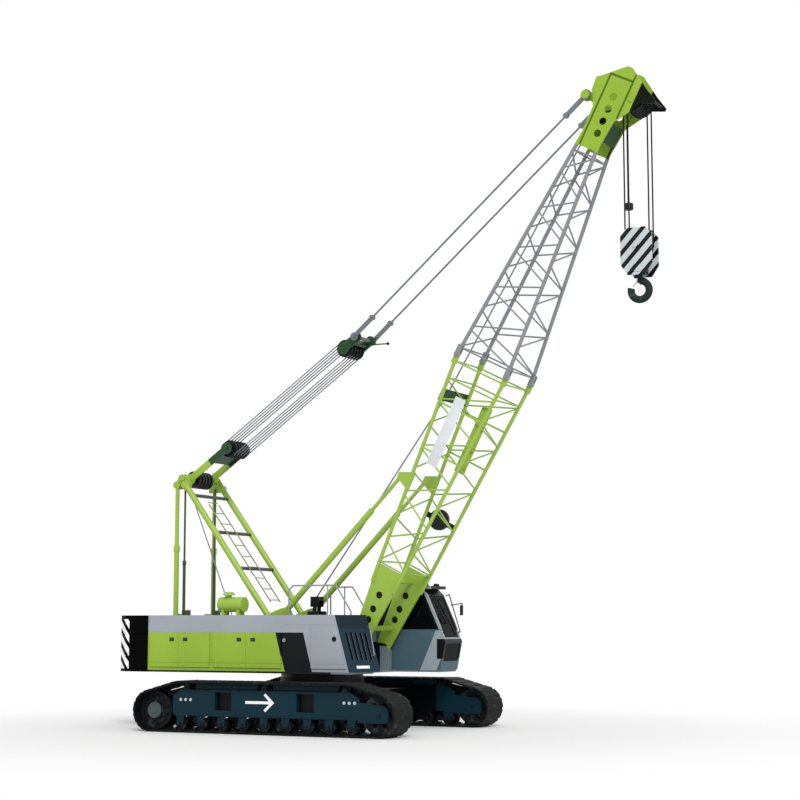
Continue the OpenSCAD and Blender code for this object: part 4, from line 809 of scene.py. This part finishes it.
# Cab: a welded shell with large tinted panes, a seat and arm consoles; its door is hinged at the rear edge.
# The upper frame is near black, the lower body slate with a pale slanting panel and a pale front pillar.
SLATE = "#4A626D"
PALE = "#98A2AA"
CAB_SILL = 2.10
CAB_RIGHT = 0.76
CAB_LEFT = 1.60
PANEL_LEAN = Vector((1.0, 0, -0.45))
PILLAR = Vector((1.0, 0.0, 0.459))
PILLAR_DISTANCE = 3.374
cab_patches = [
    (SLATE, [((0, 0, -1), -CAB_SILL)]),
    (PALE, [((0, 0, -1), -CAB_SILL + 0.02), (PANEL_LEAN, 1.40), (-PANEL_LEAN, -1.79)]),
    ("#07090A", [((1, 0, 0), 2.36), ((0, 0, 1), 1.48), ((0, 0, -1), -1.90)]),
    (PALE, [(PILLAR, PILLAR_DISTANCE), ((0, -1, 0), -CAB_RIGHT - 0.08), ((0, 0, 1), CAB_SILL)]),
]
dress(enamel("cab enamel", "#0C0F11", cab_patches, dust=0.06, shine=DARK_SHINE), "cab_shell", "cab_door")


def tinted_glass(name, shade):
    """Toughened float glass with a dark tint.

    The eye sees a dark pane with soft reflections, because a thin film of dust lies on it."""
    made, tree, shader, where = start(name)
    film = add(tree, "ShaderNodeTexNoise", {"Vector": where, "Scale": per_mm(300), "Detail": 4.0})
    gloss = add(tree, "ShaderNodeMapRange", {"Value": film.outputs["Fac"], "To Min": 0.04, "To Max": 0.14})
    tree.links.new(gloss.outputs[0], shader.inputs["Roughness"])
    shader.inputs["Base Color"].default_value = linear(shade)
    shader.inputs["IOR"].default_value = 1.5
    shader.inputs["Specular IOR Level"].default_value = 0.015
    shader.inputs["Transmission Weight"].default_value = 0.12
    return made


dress(tinted_glass("tinted cab glass", "#070B0E"), "cab_glass")


def seat_cloth():
    """Dark woven seat cloth over foam.

    The eye sees a matt weave; its threads are a millimetre wide and drawn nearly four times as wide."""
    # A wave's bands stand 0.31 of its unit apart, so a unit of 12 mm gives threads of 3.8 mm
    made, tree, shader, where = start("woven seat cloth")
    warp = add(tree, "ShaderNodeTexWave", {"Vector": where, "Scale": per_mm(12)}, bands_direction="Y")
    weft = add(tree, "ShaderNodeTexWave", {"Vector": where, "Scale": per_mm(12)}, bands_direction="Z")
    weave = add(tree, "ShaderNodeMath", {0: warp.outputs["Fac"], 1: weft.outputs["Fac"]},
                operation="MULTIPLY")
    colour = add(tree, "ShaderNodeMix", {0: weave.outputs[0], 6: linear("#15181A"), 7: linear("#33393D")},
                 data_type="RGBA")
    relief = add(tree, "ShaderNodeBump", {"Height": weave.outputs[0], "Strength": 0.4, "Distance": 0.002})
    tree.links.new(colour.outputs[2], shader.inputs["Base Color"])
    tree.links.new(relief.outputs[0], shader.inputs["Normal"])
    shader.inputs["Roughness"].default_value = 0.9
    return made


dress(seat_cloth(), "operator_seat")


# Fittings of the cab: a mirror on a bent arm, two work lamps on the roof and a wiper on the front pane.
# Black moulded housings on thin steel arms, bolted to the frame.
MIRROR_X = 2.55
MIRROR_LOW = 2.40
LAMP_X = 2.02
LAMP_IN = 0.16
ROOF_Z = 3.02
WIPER_PIVOT = Vector((2.40, 1.18, 2.20))
mirror_y = CAB_LEFT + 0.02
mirror_arm = ((2.30, CAB_LEFT - 0.02, 2.62), (MIRROR_X, mirror_y, 2.66), (MIRROR_X, mirror_y, MIRROR_LOW))
bm = bmesh.new()
bent_bar(bm, mirror_arm, 0.011)
block(bm, (MIRROR_X - 0.015, CAB_LEFT - 0.07, MIRROR_LOW), (MIRROR_X + 0.025, CAB_LEFT + 0.035, 2.62), 0.012)
for y in (CAB_RIGHT + LAMP_IN, CAB_LEFT - LAMP_IN):
    rod(bm, (LAMP_X, y, ROOF_Z), (LAMP_X, y, ROOF_Z + 0.025), 0.012)
    rod(bm, (LAMP_X - 0.05, y, ROOF_Z + 0.025), (LAMP_X + 0.05, y, ROOF_Z + 0.015), 0.045, 20)
rod(bm, WIPER_PIVOT, WIPER_PIVOT + Vector((-0.185, -0.10, 0.46)), 0.007, 8)
rod(bm, WIPER_PIVOT + Vector((-0.06, -0.07, 0.16)), WIPER_PIVOT + Vector((-0.235, -0.10, 0.60)), 0.009, 8)
finish_piece(bm, "cab_fittings", moulding, "upper")


# Grab rails of the cab: a long one beside each front pillar and a short pair low on the left.
# Bent steel bar with a black plastic coat, welded on at its ends.
RAIL_FOOT = (2.45, 2.02)
RAIL_TOP = (2.19, 2.82)
RAIL_OUT = Vector((0.085, 0, 0.03))
bm = bmesh.new()
for y in (CAB_RIGHT + 0.05, CAB_LEFT - 0.05):
    low = Vector((RAIL_FOOT[0], y, RAIL_FOOT[1]))
    high = Vector((RAIL_TOP[0], y, RAIL_TOP[1]))
    bent_bar(bm, [low, low + RAIL_OUT, high + RAIL_OUT, high], 0.012)
for z in (1.45, 1.62):
    rod(bm, (2.33, CAB_LEFT - 0.01, z - 0.12), (2.33, CAB_LEFT - 0.01, z + 0.12), 0.011)
finish_piece(bm, "cab_grab_rails", moulding, "upper")


# Boom: a lime lower section pinned to a grey upper section, with a plated head.
# Chords and lacing are welded tube; the head carries five nylon sheaves on one shaft.
BOOM_FOOT = Vector((1.13, 0.0, 1.68))
BOOM_ANGLE = math.radians(63)
ALONG = Vector((math.cos(BOOM_ANGLE), 0, math.sin(BOOM_ANGLE)))
BACK = Vector((-math.sin(BOOM_ANGLE), 0, math.cos(BOOM_ANGLE)))
boom_turn = Matrix.Rotation(-BOOM_ANGLE, 3, "Y")
HEAD_S = 12.65
HEAD_N = -0.48
HEAD_FACE = 0.347
UNDERSIDE_SHADE = "#1F4423"
UNDERSIDE_N = 0.22
MOUTH_N = 0.55
MOUTH_S = HEAD_S - 0.30


def on_boom(s, y, n):
    """A point at s along the boom, y to its left and n out of its back."""
    return BOOM_FOOT + s * ALONG + n * BACK + Vector((0, y, 0))


dress(lime_enamel, "boom_base")
dress(enamel("grey boom enamel", "#83868B", roughness=0.42, dust=0.05), "boom_top")
foot_back = BOOM_FOOT.dot(BACK)
foot_along = BOOM_FOOT.dot(ALONG)
# Painted shade: the head's floor between the side plates faces down and is lime in shade, so it is painted
# dark green.
head_patches = [
    (UNDERSIDE_SHADE, [(-BACK, UNDERSIDE_N - foot_back), *between(0.62)]),
    ("#14180F", [(-BACK, MOUTH_N - foot_back), (ALONG, MOUTH_S + foot_along)]),
]
dress(enamel("lime head enamel with a painted-shade underside", LIME, head_patches, shine=0.06), "boom_head")
nylon = enamel("black cast nylon", NYLON, roughness=0.45, dust=0.0, shine=0.3)
dress(nylon, "head_sheaves", "cable_reel")


# Head ribs: two along the boom and one across them, on the outer face of each of the head's side plates.
# Flat bar, welded on; their lime is darkened as painted shade, for the shadow lines along them.
HEAD_RIB_HALF = 0.019
HEAD_RIBS = (
    ((HEAD_S - 1.19, 0.165), (HEAD_S + 0.33, 0.165)),
    ((HEAD_S - 0.45, -0.365), (HEAD_S + 0.47, -0.365)),
    ((HEAD_S + 0.34, 0.146), (HEAD_S + 0.34, -0.346)))
rib_shade_enamel = enamel("lime enamel darkened as painted shade", "#4F6B22", dust=0.0, shine=0.1)
bm = bmesh.new()
for side in (-1, 1):
    for (s, n), (s_end, n_end) in HEAD_RIBS:
        half = (abs(s_end - s) / 2 + HEAD_RIB_HALF, 0.008, abs(n_end - n) / 2 + HEAD_RIB_HALF)
        slab(bm, on_boom((s + s_end) / 2, side * HEAD_FACE, (n + n_end) / 2), half, 0.003, boom_turn)
finish_piece(bm, "head_ribs", rib_shade_enamel, "boom")


# Covers in the holes of the boom's foot plates, half way through the plates.
# Black moulded discs, pressed into the holes.
FOOT_PLATE_Y = 0.60
FOOT_HOLES = (0.70, 0.95, 1.27)
bm = bmesh.new()
for y in (-FOOT_PLATE_Y, FOOT_PLATE_Y):
    for s in FOOT_HOLES:
        pin(bm, on_boom(s, y, 0), 0.006, 0.0745, 32)
finish_piece(bm, "foot_hole_covers", moulding, "boom")


# Boards on the lattice: blank aluminium sheets, pale on the right and lime on the left.
# Each is riveted to two flat bars that are clamped to the boom's chords.
BOOM_SIDE = 0.685
BOARD_HALF = (0.76, 0.003, 0.125)
BAR_PLACES = ((4.45, -1), (5.45, -1), (4.45, 1), (5.35, 1))
TAPER_FOOT = 1.7
TAPER_LEN = 4.8
TAPER_HALF = (0.29, 0.62)
board_film = enamel("pale board film", "#D6DADD", roughness=0.5, dust=0.0, shine=0.2)
for name, s, n, side, paint, slot in (("right_board", 4.95, 0.10, -1, board_film, "grey_paint"),
                                      ("left_board", 4.90, 0.09, 1, lime_enamel, "lime_paint")):
    bm = bmesh.new()
    slab(bm, on_boom(s, side * BOOM_SIDE, n), BOARD_HALF, 0.001, boom_turn)
    finish_piece(bm, name, paint, "boom")
bm = bmesh.new()
for s, side in BAR_PLACES:
    half = TAPER_HALF[0] + (TAPER_HALF[1] - TAPER_HALF[0]) * (s - TAPER_FOOT) / TAPER_LEN
    slab(bm, on_boom(s, side * (BOOM_SIDE - 0.008), 0), (0.020, 0.004, half), 0.0, boom_turn)
finish_piece(bm, "board_bars", lime_enamel, "boom")


# Rope guide: a plate across the boom's back chords with a roller between two cheeks.
# Welded steel in dark green; the hoist rope passes over the roller.
PASS_S = 5.60
PASS_N = 0.70
PASS_R = 0.044
PASS_Y = 0.10
PLATE_N = 0.605
GREEN = "#24482A"
green_enamel = enamel("dark green enamel", GREEN, shine=0.2)
bm = bmesh.new()
slab(bm, on_boom(PASS_S, 0.0, PLATE_N), (0.13, 0.63, 0.012), 0.004, boom_turn)
for y in (-PASS_Y, PASS_Y):
    slab(bm, on_boom(PASS_S, y, (PLATE_N + PASS_N) / 2 + 0.02), (0.06, 0.010, 0.085), 0.004, boom_turn)
pin(bm, on_boom(PASS_S, 0.0, PASS_N), PASS_Y, PASS_R, 24)
finish_piece(bm, "rope_guide", green_enamel, "boom")


# Hoist rope: from the drum through the fairlead, up over the guide and on to the head's sheaves.
# Steel wire rope; a nylon sheave between flanges leads it into the head.
GUIDE_S = 12.15
GUIDE_N = 0.13
GUIDE_R = 0.12
GUIDE_PARTS = ((0.035, GUIDE_R - 0.02), (0.012, GUIDE_R - 0.012), (0.34, 0.028))
FLANGE_OUT = 0.028
HOIST_ROPE = 0.016
rope_pass = on_boom(PASS_S, 0.0, PASS_N + PASS_R + HOIST_ROPE)
guide_top = on_boom(GUIDE_S, 0.0, GUIDE_N + GUIDE_R)
head_entry = on_boom(HEAD_S - 0.14, 0.0, HEAD_N + 0.20)
hoist_low, hoist_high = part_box("hoist_drum")
drum_leave = Vector((hoist_low.x + 0.10, 0.0, (hoist_low.z + hoist_high.z) / 2 + 0.16))
rope_piece("hoist_rope_at_drum", drum_leave, FAIRLEAD, HOIST_ROPE, bright_rope, "upper")
lead = rope_piece("hoist_rope_lead", FAIRLEAD, rope_pass, HOIST_ROPE, bright_rope, None, rings=60)
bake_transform(lead)
rope_piece("hoist_rope_on_boom", rope_pass, guide_top, HOIST_ROPE, bright_rope, "boom")
rope_piece("hoist_rope_over_head", guide_top, head_entry, HOIST_ROPE, dark_rope, "boom")
guide = on_boom(GUIDE_S, 0.0, GUIDE_N)
bm = bmesh.new()
for half, r in GUIDE_PARTS:
    pin(bm, guide, half, r, 32)
for side in (-1, 1):
    pin(bm, guide + Vector((0, side * FLANGE_OUT, 0)), 0.009, GUIDE_R + 0.012, 32)
finish_piece(bm, "guide_sheave", nylon, "boom")


# Boom rigging: bail on the gantry's shaft, spreader at the boom end of the falls, two pendant ropes.
# Bail and spreader are welded plate, green round their nylon sheaves; the pendants are bare steel.
SPREADER_PIN = Vector((0.98, 0.0, 8.34))
FALL = (SPREADER_PIN - GANTRY_TOP).normalized()
FALL_SIDE = Vector((-FALL.z, 0, FALL.x))
BAIL_LEN = 1.15
SPREADER_BACK = 0.38
yoke_start = GANTRY_TOP.dot(FALL) + BAIL_LEN - 0.52
yoke_end = yoke_start + 0.30
spreader_end = SPREADER_PIN.dot(FALL) - 0.19
bail_patches = [(GREEN, [(FALL, yoke_start)]), (NYLON, [*between(SHEAVES_WIDE), (FALL, yoke_end)])]
dress(enamel("lime bail enamel with a green yoke", LIME, bail_patches, shine=0.25), "bail")
spreader_patches = [(NYLON, [*between(SHEAVES_WIDE), (-FALL, -spreader_end)])]
dress(enamel("green spreader enamel", GREEN, spreader_patches, shine=0.2), "spreader")
dress(bare_steel("pendant steel", "#7C8187", 0.45, 20), "pendants")


# Lever on the spreader's left cheek: a bar that points to the boom, with a ball at its end.
# Drawn as black plastic over steel, fixed to the cheek at its foot.
lever_foot = SPREADER_PIN + Vector((0.04, 0.315, -0.08))
lever_tip = SPREADER_PIN + Vector((0.42, 0.345, -0.08))
bm = bmesh.new()
rod(bm, lever_foot, lever_tip, 0.014)
bmesh.ops.create_uvsphere(bm, u_segments=16, v_segments=10, radius=0.034,
                          matrix=Matrix.Translation(lever_tip))
finish_piece(bm, "spreader_lever", moulding, "spreader_body")


# Boom hoist falls: ten runs of steel wire rope between the five sheaves of bail and spreader.
FALL_SHEAVE = 0.178
FALL_STEP = 0.12
bail_sheave = GANTRY_TOP + BAIL_LEN * FALL
spreader_sheave = SPREADER_PIN - SPREADER_BACK * FALL
bm = bmesh.new()
for i in range(-2, 3):
    for side in (-1, 1):
        offset = Vector((0, i * FALL_STEP, 0)) + side * FALL_SIDE * FALL_SHEAVE
        rope(bm, bail_sheave + offset, spreader_sheave + offset, FALL_ROPE)
falls = finish_piece(bm, "boom_hoist_falls", bright_rope, None)
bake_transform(falls)


# Backstops: tubes hinged on the girders with rods that run in them, up to the boom's back.
# Both are of steel, sprayed in the machine's lime.
dress(lime_enamel, "backstop_tubes", "backstop_rods")


# Hook block: two black cheek plates with pale stripes and sheaves between them.
# The hook under it is forged and turns on its shank in the block.
HOOK_X = 7.3007
BLOCK_STRIPES = 5
STRIPE_SLOPE = 1.05
BLOCK_STRIPE_FIRST = 9.10 - STRIPE_SLOPE * HOOK_X
BLOCK_STRIPE_STEP = 0.30
BLOCK_STRIPE_WIDE = 0.17
CHEEKS_INSIDE = 0.352
stripe_up = Vector((-STRIPE_SLOPE, 0, 1))
block_patches = []
for i in range(BLOCK_STRIPES):
    low = BLOCK_STRIPE_FIRST + i * BLOCK_STRIPE_STEP
    block_patches.append(("#C3CBCE", [(stripe_up, low), (-stripe_up, -low - BLOCK_STRIPE_WIDE)]))
block_patches.append((NYLON, between(CHEEKS_INSIDE)))
block_enamel = enamel("striped block enamel", BLACK, block_patches, roughness=0.42, dust=0.02, shine=0.25)
dress(block_enamel, "hook_block")
dress(cast_steel("forged hook steel", "#262D30", "#4E565A", 0.05), "hook")


# Latch across the hook's mouth: a sprung tongue on a pin in the shank, which keeps a sling in.
# Pressed steel, zinc-plated like the bolts.
THROAT = Vector((HOOK_X, 0.0, 8.87))
latch_pin = THROAT + Vector((-0.045, 0, 0.205))
latch_tip = THROAT + Vector((-0.150, 0, 0.085))
bm = bmesh.new()
pin(bm, latch_pin, 0.062, 0.016, 16)
rod(bm, latch_pin, latch_tip, 0.017, 12, 0.012)
finish_piece(bm, "hook_latch", bolt_steel, "hook_body")


# Hoist falls: four runs of greased wire rope from the head's sheaves down to the block's.
HEAD_PIN_Z = 12.7333
BLOCK_AXLE_Z = 9.75
SHEAVE_GROOVE = 0.2544
FALL_Y = 0.125
bm = bmesh.new()
for x in (HOOK_X - SHEAVE_GROOVE, HOOK_X + SHEAVE_GROOVE):
    for y in (-FALL_Y, FALL_Y):
        rope(bm, (x, y, HEAD_PIN_Z), (x, y, BLOCK_AXLE_Z), HOIST_ROPE)
hoist = finish_piece(bm, "hoist_rope_falls", dark_rope, None)
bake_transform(hoist)


# Overhoist weight: a cast ring round one fall, which the block lifts when it comes too high.
# It hangs on a thin line from the head's shaft.
WEIGHT_Z = 10.64
WEIGHT_R = 0.09
WEIGHT_BORE = 0.022
WEIGHT_HALF = 0.07
WEIGHT_EDGE = 0.015
LINE_Y = 0.0625
LINE_R = 0.007
SHAFT_R = 0.058
weight = Vector((HOOK_X - SHEAVE_GROOVE, FALL_Y, WEIGHT_Z))
weight_rim = (
    (WEIGHT_BORE, -WEIGHT_HALF), (WEIGHT_R - WEIGHT_EDGE, -WEIGHT_HALF),
    (WEIGHT_R, WEIGHT_EDGE - WEIGHT_HALF), (WEIGHT_R, WEIGHT_HALF - WEIGHT_EDGE),
    (WEIGHT_R - WEIGHT_EDGE, WEIGHT_HALF), (WEIGHT_BORE, WEIGHT_HALF))
bm = bmesh.new()
profile = [bm.verts.new(weight + Vector((r, 0, z))) for r, z in weight_rim]
edges = [bm.edges.new(pair) for pair in zip(profile, profile[1:] + profile[:1])]
bmesh.ops.spin(bm, geom=profile + edges, cent=weight, axis=(0, 0, 1), angle=2 * math.pi, steps=32,
               use_merge=True)
shaft = Vector((HOOK_X, LINE_Y, HEAD_PIN_Z))
bend = Vector((weight.x, LINE_Y, HEAD_PIN_Z - 0.42))
line_top = shaft + SHAFT_R * (bend - shaft).normalized()
bent_bar(bm, [(weight.x, LINE_Y, WEIGHT_Z), bend, line_top], LINE_R, 8)
overhoist = finish_piece(bm, "overhoist_weight", nylon, "hoist_line")
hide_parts("hoist_falls")
